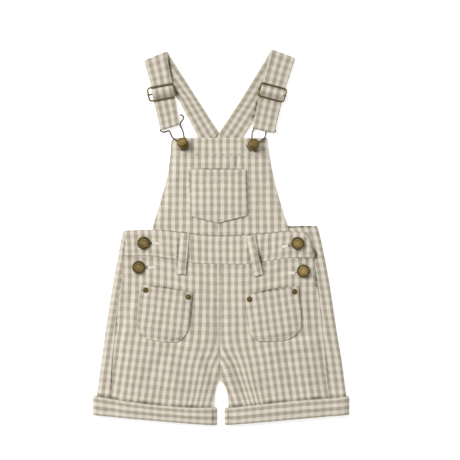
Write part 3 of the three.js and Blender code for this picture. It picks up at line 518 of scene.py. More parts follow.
def turned_out(points, faces):
    """Groups of faces, walls first, with their normals outwards."""
    corners = points[faces[0]] - points.mean(0)
    volume = 0
    for k in (1, 2):
        volume += np.einsum("ij,ij->", corners[:, 0], np.cross(corners[:, k], corners[:, k + 1]))
    return [group[:, ::-1] for group in faces] if volume < 0 else faces


def ringed(name, rings, tips, material, dark=None):
    """A closed solid from rings of points and a tip at each end, or a closed tube where there are no tips."""
    count, sides = rings.shape[:2]
    index = np.arange(count * sides).reshape(count, sides)
    index = np.concatenate([index, index[:, :1]], 1)
    points = np.concatenate([rings.reshape(-1, 3), np.reshape(tips, (-1, 3))])
    if len(tips) == 0:
        faces = [grid_faces(np.concatenate([index, index[:1]]))]
    else:
        low = np.full(sides, count * sides)
        start = np.stack([index[0, 1:], index[0, :-1], low], -1)
        stop = np.stack([index[-1, :-1], index[-1, 1:], low + 1], -1)
        faces = [grid_faces(index), start, stop]
    return new_object(name, points, turned_out(points, faces), material=material, dark=dark)


def normals(middle, ring=False):
    """Unit normals of a surface given as a grid of points."""
    if ring:
        across = np.roll(middle, -1, 1) - np.roll(middle, 1, 1)
    else:
        across = np.gradient(middle, axis=1)
    normal = np.cross(across, np.gradient(middle, axis=0))
    return normal / np.linalg.norm(normal, axis=2, keepdims=True)


def shell(name, middle, half, uv, material, ring=False, dark=0.0):
    """A closed thin shell: the cloth's middle surface moved out to both sides by half its thickness.

    The painted shade of gaps between layers goes only on the faces that look up; dark adds painted shade to
    every face."""
    offset = normals(middle, ring) * np.broadcast_to(half, middle.shape[:2])[..., None]
    points = np.concatenate([(middle + offset).reshape(-1, 3), (middle - offset).reshape(-1, 3)])
    rows, cols = middle.shape[:2]
    index = np.arange(rows * cols).reshape(rows, cols)
    if ring:
        index = np.concatenate([index, index[:, :1]], 1)
    under = rows * cols
    top = grid_faces(index)
    quads = [top, top[:, ::-1] + under]

    def rim(line):
        near, far = line[:-1], line[1:]
        quads.append(np.stack([far, near, near + under, far + under], -1))

    rim(index[0])
    rim(index[-1][::-1])
    if not ring:
        rim(index[:, 0][::-1])
        rim(index[:, -1])
    faces = turned_out(points, [np.concatenate(quads)])
    both = np.concatenate([uv.reshape(-1, 2), uv.reshape(-1, 2)])
    faces_up = np.concatenate([offset[..., 2].ravel(), -offset[..., 2].ravel()]) > 0
    shade = np.where(faces_up, crevice(points[:, 0], points[:, 1]), 0) + dark
    return new_object(name, points, faces, both, material, shade)


def stations(length, pitch):
    """Places along a length, from 0 to 1, closer together at both ends."""
    rim = np.array(RIM)
    inner = np.linspace(RIM[-1], length - RIM[-1], max(int(length / pitch), 2) + 1)[1:-1]
    return np.concatenate([rim, inner, length - rim[::-1]]) / length


def rounded(away, thickness):
    """Half the thickness at a distance from an edge that turns under."""
    radius = thickness / 2
    t = np.clip(away / radius, 0, 1)
    return radius * np.maximum(np.sqrt(1 - (1 - t) ** 2), 0.12)


def edge_half(u, v, size, thickness=CLOTH):
    """Half the thickness of a panel of that width and length, whose four edges turn under."""
    away = np.minimum(np.minimum(u, 1 - u) * size[0], np.minimum(v, 1 - v) * size[1])
    return rounded(away, thickness)


def panel(left, right, top, bottom, size, pitch=FINE):
    """Stations, places and half the thickness of a panel between two side edges x(y) and two seams y(x)."""
    u, v = np.meshgrid(stations(size[0], pitch), stations(size[1], pitch))
    x = np.full_like(u, (float(left(0.0)) + float(right(0.0))) / 2)
    for _ in range(10):
        y = lerp(top(x), bottom(x), v)
        x = lerp(left(y), right(y), u)
    return v, x, y, edge_half(u, v, size)


def finished(obj, slot, *nodes):
    """The piece rides on the body and stands for its CAD nodes, which it hides; slot is not used."""
    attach(obj, "root")
    if nodes:
        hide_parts(*nodes)
    return obj


# Materials
def node_tree(name):
    material = bpy.data.materials.new(name)
    material.use_nodes = True
    tree = material.node_tree
    tree.nodes.clear()
    shader = tree.nodes.new("ShaderNodeBsdfPrincipled")
    output = tree.nodes.new("ShaderNodeOutputMaterial")
    tree.links.new(shader.outputs[0], output.inputs["Surface"])
    return material, Nodes(tree), shader


class Nodes:
    """Short calls for building a shader's node tree."""

    def __init__(self, tree):
        self.tree = tree

    def add(self, kind, **values):
        node = self.tree.nodes.new(kind)
        for key, value in values.items():
            setattr(node, key, value)
        return node

    def link(self, source, target):
        self.tree.links.new(source, target)

    def put(self, socket, value):
        if isinstance(value, bpy.types.NodeSocket):
            self.link(value, socket)
        else:
            socket.default_value = value

    def math(self, operation, *values, clamp=False):
        node = self.add("ShaderNodeMath", operation=operation, use_clamp=clamp)
        for socket, value in zip(node.inputs, values):
            self.put(socket, value)
        return node.outputs[0]

    def mix(self, factor, a, b):
        node = self.add("ShaderNodeMix", data_type="RGBA")
        self.put(node.inputs[0], factor)
        self.put(node.inputs[6], a if isinstance(a, bpy.types.NodeSocket) else (*a, 1))
        self.put(node.inputs[7], b if isinstance(b, bpy.types.NodeSocket) else (*b, 1))
        return node.outputs[2]

    def noise(self, vector, scale, detail=2.0, roughness=0.5):
        node = self.add("ShaderNodeTexNoise")
        self.put(node.inputs["Vector"], vector)
        self.put(node.inputs["Scale"], scale)
        self.put(node.inputs["Detail"], detail)
        self.put(node.inputs["Roughness"], roughness)
        return node.outputs[0]

    def stretched(self, vector, across, down):
        node = self.add("ShaderNodeVectorMath", operation="MULTIPLY")
        self.put(node.inputs[0], vector)
        self.put(node.inputs[1], (across, down, 0))
        return node.outputs[0]

    def ramp(self, value, low, high, to_low=0.0, to_high=1.0):
        node = self.add("ShaderNodeMapRange", interpolation_type="SMOOTHSTEP")
        for socket, number in zip(node.inputs, (value, low, high, to_low, to_high)):
            self.put(socket, number)
        return node.outputs[0]

    def bump(self, height, distance, strength=1.0, normal=None):
        node = self.add("ShaderNodeBump")
        self.put(node.inputs["Height"], height)
        self.put(node.inputs["Distance"], distance)
        self.put(node.inputs["Strength"], strength)
        if normal is not None:
            self.put(node.inputs["Normal"], normal)
        return node.outputs[0]


# Gingham: cream and taupe yarns in a twill whose warp shows more than its weft
CREAM = (0.725, 0.663, 0.569)
TAUPE = (0.385, 0.339, 0.256)
# Brown that the painted shade turns the cloth towards
PAINTED_SHADE_BROWN = (0.06, 0.042, 0.022)
CHECK_ACROSS = 8.85   # repeat of the warp stripes
CHECK_DOWN = 9.6      # repeat of the weft stripes
YARN = 0.46           # pitch of the yarns
WARP_SHARE = 0.72     # of the face
WARP_PHASE = 0.25
WANDER = 1.5          # how far the stripes stray from straight
WANDER_SIZE = 18
SLUB_SIZE = 2.6       # thick and thin places in the yarn
CLOUD_SIZE = 24       # washed-out patches
YARN_SIZE = (0.9, 11)     # width and length of yarns that are darker or lighter


def gingham():
    material, n, shader = node_tree("gingham")
    uv = n.add("ShaderNodeUVMap", uv_map="weave").outputs[0]
    wander = n.add("ShaderNodeVectorMath", operation="MULTIPLY_ADD")
    noise = n.add("ShaderNodeTexNoise")
    n.link(uv, noise.inputs["Vector"])
    n.put(noise.inputs["Scale"], 1 / (WANDER_SIZE * MM))
    n.link(noise.outputs[1], wander.inputs[0])
    n.put(wander.inputs[1], (WANDER * MM,) * 3)
    n.link(uv, wander.inputs[2])
    split = n.add("ShaderNodeSeparateXYZ")
    n.link(wander.outputs[0], split.inputs[0])
    u, v = split.outputs[0], split.outputs[1]

    def stripes(value, repeat, phase):
        turn = n.math("FRACT", n.math("MULTIPLY_ADD", value, 1 / (repeat * MM), phase))
        ridge = n.math("ABSOLUTE", n.math("SUBTRACT", turn, 0.5))
        return n.ramp(ridge, 0.2, 0.3, 1.0, 0.0)

    warp_taupe = stripes(u, CHECK_ACROSS, WARP_PHASE)
    weft_taupe = stripes(v, CHECK_DOWN, 0.0)

    def along(value):
        return n.math("MULTIPLY", value, 1 / (YARN * MM))

    def ridge(value):
        return n.math("ABSOLUTE", n.math("SINE", n.math("MULTIPLY", along(value), math.pi)))

    cell = n.math("ADD", n.math("FLOOR", along(u)), n.math("FLOOR", along(v)))
    weft_over = n.math("LESS_THAN", n.math("FLOORED_MODULO", cell, 3.0), 0.5)
    share = n.math("MULTIPLY_ADD", weft_over, 0.45, (1 - WARP_SHARE) - 0.45 / 3)
    slub = n.noise(uv, 1 / (SLUB_SIZE * MM), 3.0, 0.6)
    cloudy = n.noise(uv, 1 / (CLOUD_SIZE * MM), 2.0)
    warp = n.mix(warp_taupe, CREAM, TAUPE)
    weft = n.mix(weft_taupe, CREAM, TAUPE)
    cloth = n.mix(share, warp, weft)
    thin, long = (1 / (size * MM) for size in YARN_SIZE)
    yarns_across = n.noise(n.stretched(uv, thin, long), 1.0, 1.0)
    yarns_down = n.noise(n.stretched(uv, long, thin), 1.0, 1.0)
    tone = n.math("ADD", n.math("MULTIPLY", slub, 0.14), n.math("MULTIPLY", cloudy, 0.12))
    tone = n.math("ADD", tone, n.math("MULTIPLY", n.math("ADD", yarns_across, yarns_down), 0.11))
    # Painted shade: the crevice attribute dims the cloth and turns it towards brown in gaps, grooves and
    # under the straps and buttons.
    gap = n.add("ShaderNodeAttribute", attribute_name="crevice").outputs["Fac"]
    lit = n.math("MULTIPLY_ADD", gap, -0.2, 1.0)
    shade = n.add("ShaderNodeHueSaturation")
    n.link(cloth, shade.inputs["Color"])
    n.link(n.math("MULTIPLY", n.math("ADD", tone, 0.76), lit), shade.inputs["Value"])
    painted_shade_colour = n.mix(n.math("MULTIPLY", gap, 0.52, clamp=True), shade.outputs[0], PAINTED_SHADE_BROWN)
    n.link(painted_shade_colour, shader.inputs["Base Color"])
    over = n.math("SUBTRACT", 1.0, weft_over)
    yarn = n.math("ADD", n.math("MULTIPLY", ridge(u), over), n.math("MULTIPLY", ridge(v), weft_over))
    height = n.math("ADD", yarn, n.math("MULTIPLY", slub, 0.8))
    n.link(n.bump(height, 0.12 * MM, 0.55), shader.inputs["Normal"])
    n.link(n.ramp(slub, 0.3, 0.7, 0.82, 0.96), shader.inputs["Roughness"])
    shader.inputs["Specular IOR Level"].default_value = 0.25
    shader.inputs["Sheen Weight"].default_value = 0.12
    shader.inputs["Sheen Roughness"].default_value = 0.5
    shader.inputs["Sheen Tint"].default_value = (1.0, 0.97, 0.92, 1)
    return material


def thread(name, dull, bright):
    material, n, shader = node_tree(name)
    place = n.add("ShaderNodeTexCoord").outputs["Object"]
    twist = n.noise(place, 1 / (0.5 * MM), 1.0)
    n.link(n.mix(twist, dull, bright), shader.inputs["Base Color"])
    n.link(n.bump(twist, 0.08 * MM, 0.5), shader.inputs["Normal"])
    shader.inputs["Roughness"].default_value = 0.6
    shader.inputs["Sheen Weight"].default_value = 0.1
    return material


def metal(name, bright, dark, roughness, patina=0.5):
    """Aged metal: bright where it is rubbed, dark and rough under the patina and in its grooves, and dark and
    rough where painted shade is laid on its undersides.
    """
    material, n, shader = node_tree(name)
    place = n.add("ShaderNodeTexCoord").outputs["Object"]
    cloud = n.noise(place, 1 / (3.2 * MM), 4.0, 0.6)
    speck = n.noise(place, 1 / (0.45 * MM), 2.0, 0.6)
    worn = n.add("ShaderNodeNewGeometry").outputs["Pointiness"]
    rubbed = n.ramp(worn, 0.49, 0.56)
    # patina in the grooves, and painted shade on the undersides, from the crevice attribute
    patina_and_painted_shade = n.add("ShaderNodeAttribute", attribute_name="crevice").outputs["Fac"]
    lain = n.math("MULTIPLY", n.ramp(cloud, 0.3, 0.75), patina)
    age = n.math("SUBTRACT", n.math("ADD", lain, patina_and_painted_shade), n.math("MULTIPLY", rubbed, 0.4), clamp=True)
    n.link(n.mix(age, bright, dark), shader.inputs["Base Color"])
    rough = n.math("MULTIPLY_ADD", age, 0.25, n.math("MULTIPLY_ADD", speck, 0.14, roughness))
    n.link(rough, shader.inputs["Roughness"])
    relief = n.math("ADD", cloud, n.math("MULTIPLY", speck, 0.5))
    n.link(n.bump(relief, 0.05 * MM, 0.3), shader.inputs["Normal"])
    shader.inputs["Metallic"].default_value = 1.0
    return material


GINGHAM = gingham()
THREAD = thread("thread", (0.62, 0.55, 0.44), (0.84, 0.77, 0.66))
SATIN = thread("satin_thread", (0.80, 0.75, 0.65), (0.95, 0.91, 0.82))
BRASS = metal("antique_brass", (0.37, 0.27, 0.105), (0.105, 0.078, 0.03), 0.5, 0.4)
SLIDER_BRASS = metal("slider_brass", (0.2, 0.16, 0.075), (0.06, 0.048, 0.022), 0.36, 0.7)
DARK_WIRE = metal("bronzed_wire", (0.14, 0.122, 0.09), (0.036, 0.031, 0.024), 0.42, 0.7)


# Cuts through the cloth for a shank and a buttonhole
SHANK = 2.4
EYE = SHANK + 0.5
SLIT_LENGTH = 19
SLIT_WIDTH = 0.25
END_RADIUS = 1.45      # of the round hole at the slit's near end
CUTTER_SPAN = (-2.0, 12.0)      # from below all the cloth to above it


def keyhole(button):
    """A cutter shaped like the eye and slit of a buttonhole, seen from above."""
    half = SLIT_WIDTH / 2

    def arc(centre, radius, first, last, count):
        angles = np.linspace(first, last, count)
        return [(centre + radius * math.cos(a), radius * math.sin(a)) for a in angles]

    opening = math.asin(half / EYE)
    end = math.asin(half / END_RADIUS)
    outline = arc(0, EYE, opening, 2 * math.pi - opening, 28)
    outline += arc(button.hole, END_RADIUS, math.pi + end, 2 * math.pi - end, 9)
    outline += [(SLIT_LENGTH, -half), (SLIT_LENGTH + half * 0.7, 0.0), (SLIT_LENGTH, half)]
    outline += arc(button.hole, END_RADIUS, end, math.pi - end, 9)
    flip = np.array([button.towards, 1])
    turn = button.turn
    spin = np.array([[math.cos(turn), math.sin(turn)], [-math.sin(turn), math.cos(turn)]])
    flat = (np.array(outline) * flip) @ spin + (button.x, button.y)
    count = len(flat)
    points = np.concatenate([np.c_[flat, np.full(count, z)] for z in CUTTER_SPAN])
    ring = np.arange(count)
    after = (ring + 1) % count
    walls = np.stack([ring, after, after + count, ring + count], -1)
    ends = [ring[::-1].tolist(), (ring + count).tolist()]
    mesh = bpy.data.meshes.new("cutter")
    mesh.from_pydata((points * MM).tolist(), [], walls.tolist() + ends)
    return linked("cutter", mesh)


def cut(obj, cutters):
    for tool in cutters:
        modifier = obj.modifiers.new("cut", "BOOLEAN")
        modifier.operation = "DIFFERENCE"
        modifier.solver = "EXACT"
        modifier.object = tool
    graph = bpy.context.evaluated_depsgraph_get()
    mesh = bpy.data.meshes.new_from_object(obj.evaluated_get(graph))
    obj.modifiers.clear()
    obj.data = mesh
    for tool in cutters:
        bpy.data.objects.remove(tool)


# Sewing thread
THREAD_RADIUS = 0.25
SPINDLE = table("along radius", (0, 0.3), (0.12, 0.85), (0.5, 1), (0.88, 0.85), (1, 0.3))
THREAD_SIDES = 6
FACE = CLOTH / 2 - 0.02     # where the stitches lie, from the middle of the cloth


def threads(name, starts, ends, material=None, thickness=1.0):
    """Short lengths of thread from starts to ends, as closed spindles in one mesh."""
    along = ends - starts
    ahead = along / np.linalg.norm(along, axis=1, keepdims=True)
    side = np.cross(ahead, (0.0, 0.0, 1.0))
    side /= np.linalg.norm(side, axis=1, keepdims=True)
    up = np.cross(side, ahead)
    angle = np.linspace(0, 2 * np.pi, THREAD_SIDES, endpoint=False)[:, None]
    ring = np.cos(angle) * side[:, None, None] + np.sin(angle) * up[:, None, None]
    share = np.array([s.along for s in SPINDLE])[:, None]
    radius = THREAD_RADIUS * thickness * np.array([s.radius for s in SPINDLE])[:, None, None]
    points = (starts[:, None] + along[:, None] * share)[:, :, None] + ring * radius
    index = np.arange(points.size // 3).reshape(points.shape[:3])
    loop = np.concatenate([index, index[:, :, :1]], 2)
    walls = np.concatenate([grid_faces(spindle[::-1]) for spindle in loop])
    half, other = [0, 1, 2, 3], [0, 3, 4, 5]
    caps = [index[:, 0, half], index[:, 0, other], index[:, -1, half[::-1]], index[:, -1, other[::-1]]]
    return new_object(name, points.reshape(-1, 3), [walls, *caps], material=material or THREAD)


def stitches(name, rows, pitch=4.2, length=3.0):
    """Even stitches along rows of points on the cloth's face."""
    starts, ends = [], []
    for row in rows:
        distance = travelled(row)
        first = np.arange(0.8, distance[-1] - length, pitch)
        for places, out in ((first, starts), (first + length, ends)):
            out.append(resampled(row, distance, places))
    return threads(name, np.concatenate(starts), np.concatenate(ends))


def on_face(level, x, y):
    """Points on the upper face of the cloth whose middle is at level(x, y)."""
    x, y = np.broadcast_arrays(np.asarray(x, float), np.asarray(y, float))
    return np.c_[x, y, level(x, y) + FACE]


def satin(level, start, end, near, far, pitch=0.6):
    """Close stitches across a line, from near to far beside it."""
    start, end = np.array(start, float), np.array(end, float)
    length = math.dist(start, end)
    ahead = (end - start) / length
    beside = np.array([-ahead[1], ahead[0]])
    places = start + ahead * np.arange(0, length, pitch)[:, None]
    uneven = 0.12 * np.sin(np.arange(len(places)) * 2.3)[:, None]
    inner, outer = places + beside * near, places + beside * (far + uneven)
    return on_face(level, *inner.T), on_face(level, *outer.T)


def satin_bars(name, level, bars, *finish):
    """Bars of satin stitches as one piece."""
    starts, ends = (np.concatenate(part) for part in zip(*[satin(level, *bar) for bar in bars]))
    return threads(name, starts, ends, *finish)


# Front bib, waistband and legs
def leg_grain(side, x, y, v):
    """How far across the cloth, and down it, a point of a front leg lies: stripes fan and lean."""
    lean = 0.06 * np.maximum(-70 - y, 0) + 0.085 * np.maximum(-112 - y, 0)
    from_centre = (x - CENTRE_X) * side.sign
    share = lerp(climb(y, -120, -165), 1, np.clip(from_centre / 60, 0, 1))
    u = x - side.sign * lean * share
    drawn_in = climb(y, -132, -162) * np.maximum(-132 - y, 0)
    line = side.fold_start + side.fold_slope * np.maximum(-140 - y, 0)
    u = u - side.sign * side.fold_pull * drawn_in * climb(from_centre, line + 19, line - 15)
    return np.dstack([u, (1 - v) * LEG_GRAIN])


def front_panels():
    _, x, y, half = panel(
        bib_left, bib_right, lambda x: BIB_TOP + 0 * x, lambda x: waist_top(x) + SEAM / 2, BIB_SIZE)
    grain = np.dstack([(x - CENTRE_X) * (1 - 0.0003 * (BIB_TOP - y)), y])
    bib = shell("front_bib", np.dstack([x, y, bib_cloth(x, y)]), half, grain, GINGHAM)

    v, x, y, half = panel(
        LEFT.tab_edge, RIGHT.tab_edge, lambda x: waist_top(x) - SEAM / 2,
        lambda x: waist_bottom(x) + SEAM / 2, BAND_SIZE)
    grain = np.dstack([x + 0.0006 * x * (waist_top(x) - y) + 2.1, -v * BAND_SIZE[1] + 3])
    band = shell("front_waistband", np.dstack([x, y, band_cloth(x, y)]), half, grain, GINGHAM)
    cut(band, [keyhole(b) for b in SIDE_BUTTONS if b.name.endswith("upper")])
    pieces = {"front_bib": bib, "front_waistband": band}

    for side in SIDES:
        def seam(y, side=side):
            return side.side_seam(y) - side.sign * SEAM / 2

        def middle(y, side=side):
            return side.inseam(y) + side.sign * SEAM / 2

        left, right = (seam, middle) if side is LEFT else (middle, seam)
        v, x, y, half = panel(
            left, right, lambda x: waist_bottom(x) - SEAM / 2, lambda x, s=side: s.cuff_top(x) - HEM_IN_CUFF,
            LEG_SIZE)
        name = f"front_leg_{side.name}"
        leg = shell(name, np.dstack([x, y, leg_cloth(x, y)]), half, leg_grain(side, x, y, v), GINGHAM)
        cut(leg, [keyhole(b) for b in SIDE_BUTTONS if b.name == f"{side.name}_lower"])
        pieces[name] = leg
    return pieces


# Patch pockets and belt loops
CHEST_POCKET = SimpleNamespace(
    name="chest_pocket",
    top=lambda x: 84.4 + 0 * x,
    left=through("y x", (84.4, -39.8), (55, -38.6), (26, -37.4)),
    right=through("y x", (84.4, 31.4), (55, 32.4), (26, 33.3)),
    bottom=lambda x: lerp(17.4, 27, np.minimum(np.abs(x + 3.9) / 36, 1)),
    hem=12,
    corner=26.8,         # where the sides end
    shift=(4.2, 2.5),
    tilt=0.0,
)
HIP_POCKETS = (
    SimpleNamespace(
        name="hip_pocket_left",
        top=through("x y", (-99.4, -58.8), (-69.5, -63.1), (-36, -68.4)),
        left=through(
            "y x", (-58.8, -99.4), (-77.2, -101.2), (-95.3, -103.6), (-108, -104.3), (-117, -101.2),
            (-126, -93.4)),
        right=through("y x", (-68.4, -35.2), (-92.2, -37.4), (-110, -39.4), (-119, -42.6), (-127.5, -50)),
        bottom=through("x y", (-100, -123), (-92.9, -126.6), (-66, -130.6), (-53, -129.6), (-46, -124.5)),
        hem=17,
        corner=-122.5,
        shift=(1.0, 3.0),
        tilt=0.11,
    ),
    SimpleNamespace(
        name="hip_pocket_right",
        top=through("x y", (30.2, -71.9), (62.1, -65), (97.3, -60.4)),
        left=through("y x", (-71.9, 30.2), (-91.7, 31.6), (-110.8, 34.2), (-119, 36.2), (-126, 42)),
        right=through(
            "y x", (-60.4, 97.3), (-75.8, 97.8), (-98.1, 100.2), (-111, 99.8), (-118, 96.4), (-125.5, 88.5)),
        bottom=through("x y", (39, -124.6), (45, -128.4), (60, -129.9), (83, -127.6), (93, -121.5)),
        hem=17,
        corner=-122.5,
        shift=(2.0, 1.0),
        tilt=-0.135,
    ),
)


def pocket_cloth(pocket, x, y):
    """Middle of a patch pocket's cloth: on the front, a little full, flat at its sewn edges."""
    inside = np.minimum(np.minimum(x - pocket.left(y), pocket.right(y) - x), y - pocket.bottom(x))
    from_top = pocket.top(x) - y
    full = climb(inside, 1, 16)
    z = front_cloth(x, y) + CLOTH + ON_TOP
    z += 0.7 * full + 0.7 * climb(from_top, 12, 0) * full
    z += (0.26 * rumple(x, y, 23, 7 + len(pocket.name)) + 0.1 * rumple(x, y, 9, 9)) * full
    z += puckers(x + y, inside, 6.4, 0.22, 4, 9) + puckers(x, np.abs(from_top - pocket.hem), 7, 0.14, 5, 10)
    z += groove(inside - EDGE_STITCH, 0.26, 0.8) + groove(from_top - pocket.hem, 0.24, 0.8)
    return z + 0.3 * climb(from_top, pocket.hem + 0.4, pocket.hem - 0.8)


def patches():
    pieces = {}
    for pocket in (CHEST_POCKET, *HIP_POCKETS):
        _, x, y, half = panel(pocket.left, pocket.right, pocket.top, pocket.bottom, POCKET_SIZE)
        grain_x = x - pocket.tilt * (y - pocket.top(0 * x + np.mean(x)))
        grain = np.dstack([grain_x + pocket.shift[0], y + pocket.tilt * x + pocket.shift[1]])
        middle = np.dstack([x, y, pocket_cloth(pocket, x, y)])
        pieces[pocket.name] = shell(pocket.name, middle, half, grain, GINGHAM)
    for loop in BELT_LOOPS:
        pieces[f"belt_loop_{loop.name}"] = belt_loop(loop)
    return pieces


BELT_LOOPS = table(
    "name top bottom",
    ("left", (-45.2, 5.2), (-49.3, -46.2)),
    ("right", (37, 2.2), (46.6, -47.6)),
)
LOOP_WIDTH = 11.6
LOOP_RISE = 1.9        # how far the loop stands off the band in its middle
LOOP_PITCH = 0.8       # of the grid across it
LOOP_STITCH = 1.7      # from the loop's edges


def loop_surface(loop, u, v):
    """Middle of a belt loop's cloth, u across and v along it from 0 to 1."""
    start, end = np.array(loop.top), np.array(loop.bottom)
    heading = (end - start) / np.linalg.norm(end - start)
    sideways = np.array([-heading[1], heading[0]])
    place = start + v[..., None] * (end - start) + (u[..., None] - 0.5) * LOOP_WIDTH * sideways
    x, y = place[..., 0], place[..., 1]
    arch = LOOP_RISE * np.sin(np.pi * climb(v, 0.05, 0.95)) ** 2
    edge = np.minimum(u, 1 - u) * LOOP_WIDTH
    z = hip_level(x, y) + CLOTH * 1.5 + ON_TOP + arch
    z += 0.35 * climb(edge, 0, 4) + groove(edge - LOOP_STITCH, 0.25, 0.7) + 0.08 * rumple(x, y, 9, 12)
    return np.dstack([x, y, z])


def belt_loop(loop):
    length = math.dist(loop.top, loop.bottom)
    u, v = np.meshgrid(stations(LOOP_WIDTH, LOOP_PITCH), stations(length, VERY_FINE))
    grain = np.dstack([u * LOOP_WIDTH + 3.1, -v * length])
    half = edge_half(u, v, (LOOP_WIDTH, length))
    return shell(f"belt_loop_{loop.name}", loop_surface(loop, u, v), half, grain, GINGHAM)


# Back pieces: a layer on the surface that turns over at the outline and lies on itself
FOLD_STEPS = 8


def folded(side, v, y, inner, outline, flap_end, across, flap):
    """Rows of points and the distance along each, from the inner end, round the fold, to the flap's end."""
    bend = (SECOND_LAYER - FLOOR_LAYER) / 2
    turn = outline - side.sign * (bend + CLOTH / 2)
    rows, lengths = [], []
    for j in range(len(v)):
        x1 = lerp(inner[j], turn[j], across)
        y1 = y(x1, v[j])
        angle = np.linspace(0, np.pi, FOLD_STEPS + 1)[1:-1]
        x2 = turn[j] + side.sign * bend * np.sin(angle)
        y2 = np.full_like(x2, y(turn[j], v[j]))
        z2 = FLOOR_LAYER + bend * (1 - np.cos(angle)) + lift(turn[j] + 0 * x2, y2)
        x3 = lerp(turn[j], flap_end[j], flap)
        y3 = y(x3, v[j])
        from_fold = np.abs(x3 - turn[j])
        swell = 0.25 * climb(from_fold, 0, 3) * (1 + 0.5 * np.sin(y3 / 17 + side.sign))
        z3 = SECOND_LAYER + lift(x3, y3) + swell + 0.1 * rumple(x3, y3, 15, 14)
        z1 = FLOOR_LAYER + lift(x1, y1)
        row = np.concatenate([np.c_[x1, y1, z1], np.c_[x2, y2, z2], np.c_[x3, y3, z3]])
        distance = travelled(row)
        rows.append(row)
        lengths.append(distance - distance[len(x1) + len(x2) // 2])
    return np.array(rows), np.array(lengths)


def flap_end(side, y):
    """Inner end of a back leg's flap: a short underlap, then as far as the side seam."""
    seam = side.side_seam(y) + side.sign * SEAM
    return lerp(side.underlap_leg, seam, climb(y, -62, -66.5))


def back_legs():
    pieces = {}
    for side in SIDES:
        v = np.unique(np.concatenate([np.linspace(0, 1, 105), stations(BACK_LEG_LENGTH, 8)]))

        def y(x, v, side=side):
            return lerp(BACK_BAND_SEAM - GAP / 2, side.cuff_top(x) - HEM_IN_CUFF, v)

        inner = side.inseam(y(side.inseam(y(CENTRE_X, v)), v)) + side.sign * GAP / 2
        outline = side.silhouette(y(side.silhouette(y(side.sign * 140, v)), v))
        end = flap_end(side, y(side.side_seam(y(side.sign * 125, v)), v))
        across = np.concatenate([np.linspace(0, 0.9, 40), np.linspace(0.9, 1, 8)[1:]])
        flap = np.concatenate([np.linspace(0, 1, 25)[1:], [1.012]])
        middle, distance = folded(side, v, y, inner, outline, end, across, flap)
        grain = np.dstack([distance * side.sign, middle[..., 1]])
        half = np.full(middle.shape[:2], CLOTH / 2)
        half[:, -1] *= 0.3
        name = f"back_leg_{side.name}"
        pieces[name] = shell(name, middle, half, grain, GINGHAM)
    return pieces


def back_band_top(x):
    return lerp(8.7, 14.6, climb(x, -60, 110))


def back_waistband():
    v = stations(BACK_BAND_LENGTH, FINE)

    def y(x, v):
        return lerp(back_band_top(x), BACK_BAND_SEAM + GAP / 2, v)

    halves = []
    for side in SIDES:
        outline = side.silhouette(y(side.sign * 125, v))
        across = np.concatenate([np.linspace(0, 0.9, 36), np.linspace(0.9, 1, 8)[1:]])
        flap = np.concatenate([np.linspace(0, 0.3, 16)[1:], np.linspace(0.3, 1, 28)[1:]])
        ends = np.full(len(v), float(side.underlap_band))
        inner = np.full(len(v), CENTRE_X)
        halves.append(folded(side, v, y, inner, outline, ends, across, flap))
    left, right = halves
    middle = np.concatenate([left[0][:, ::-1], right[0][:, 1:]], 1)
    distance = np.concatenate([-left[1][:, ::-1], right[1][:, 1:]], 1)
    grain = np.dstack([distance, middle[..., 1]])
    away = np.minimum(v, 1 - v) * BACK_BAND_LENGTH
    half = np.broadcast_to(rounded(away, CLOTH)[:, None], middle.shape[:2])
    return {"back_waistband": shell("back_waistband", middle, half, grain, GINGHAM)}


def back_bib():
    def edge(sign):
        return through(
            "y x", (BACK_BIB_TOP, sign * 26 - 1.6), (118, sign * 33.4 - 1.6), (82, sign * 52 - 2),
            (9, sign * 79 - 1))

    _, x, y, half = panel(
        edge(-1), edge(1), lambda x: BACK_BIB_TOP + 0 * x, lambda x: back_band_top(x) + GAP,
        BACK_BIB_SIZE, COARSE)
    middle = np.dstack([x, y, np.full_like(x, FLOOR_LAYER)])
    return {"back_bib": shell("back_bib", middle, half, np.dstack([x, y]), GINGHAM)}


# Turned-up cuffs: flattened rings round the hems
CUFF_DEPTH = 23
CUFF_STITCH = 2.6      # stitching from the cuff's top edge
CUFF_SEAM = 1.4        # from the roll at its inner end


def between_rolls(side):
    """Where a cuff's flat part begins and ends, between the rolls at its ends."""
    roll = CUFF_BEND + CUFF_CLOTH / 2
    return side.cuff_span[0] + roll, side.cuff_span[1] - roll


def cuff_level(side, x, v):
    """Middle of a cuff's upper layer, v down it from 0 to 1."""
    low, high = between_rolls(side)
    y = lerp(side.cuff_top(x), side.cuff_bottom(x), v)
    flat = CUFF_CLOTH / 2 + 2 * CUFF_BEND
    on_leg = hip_level(x, side.cuff_top(x) - 2) + CLOTH + 2 * GAP + CUFF_CLOTH / 2
    over = lerp(flat, np.maximum(on_leg, flat), climb(np.minimum(x - low, high - x), 0, 9))
    swell = 0.9 * np.sin(np.pi * np.clip(v, 0, 1)) ** 0.7 - 0.3
    outer, inner = (low, high) if side is LEFT else (high, low)
    ends = 0.5 * bell(x - outer, 5) * (1 + np.sin(v * 11)) / 2
    ends = ends + groove(np.abs(x - inner) - CUFF_SEAM, 0.7, 1.2)
    edge = np.minimum(v, 1 - v) * CUFF_DEPTH
    wave = 0.3 * rumple(x, y, 23, 15 + side.sign) + puckers(x, edge, 7.3, 0.24, 5, 12)
    return over + swell + ends + wave + groove(np.abs(v * CUFF_DEPTH - CUFF_STITCH), 0.24, 0.8)


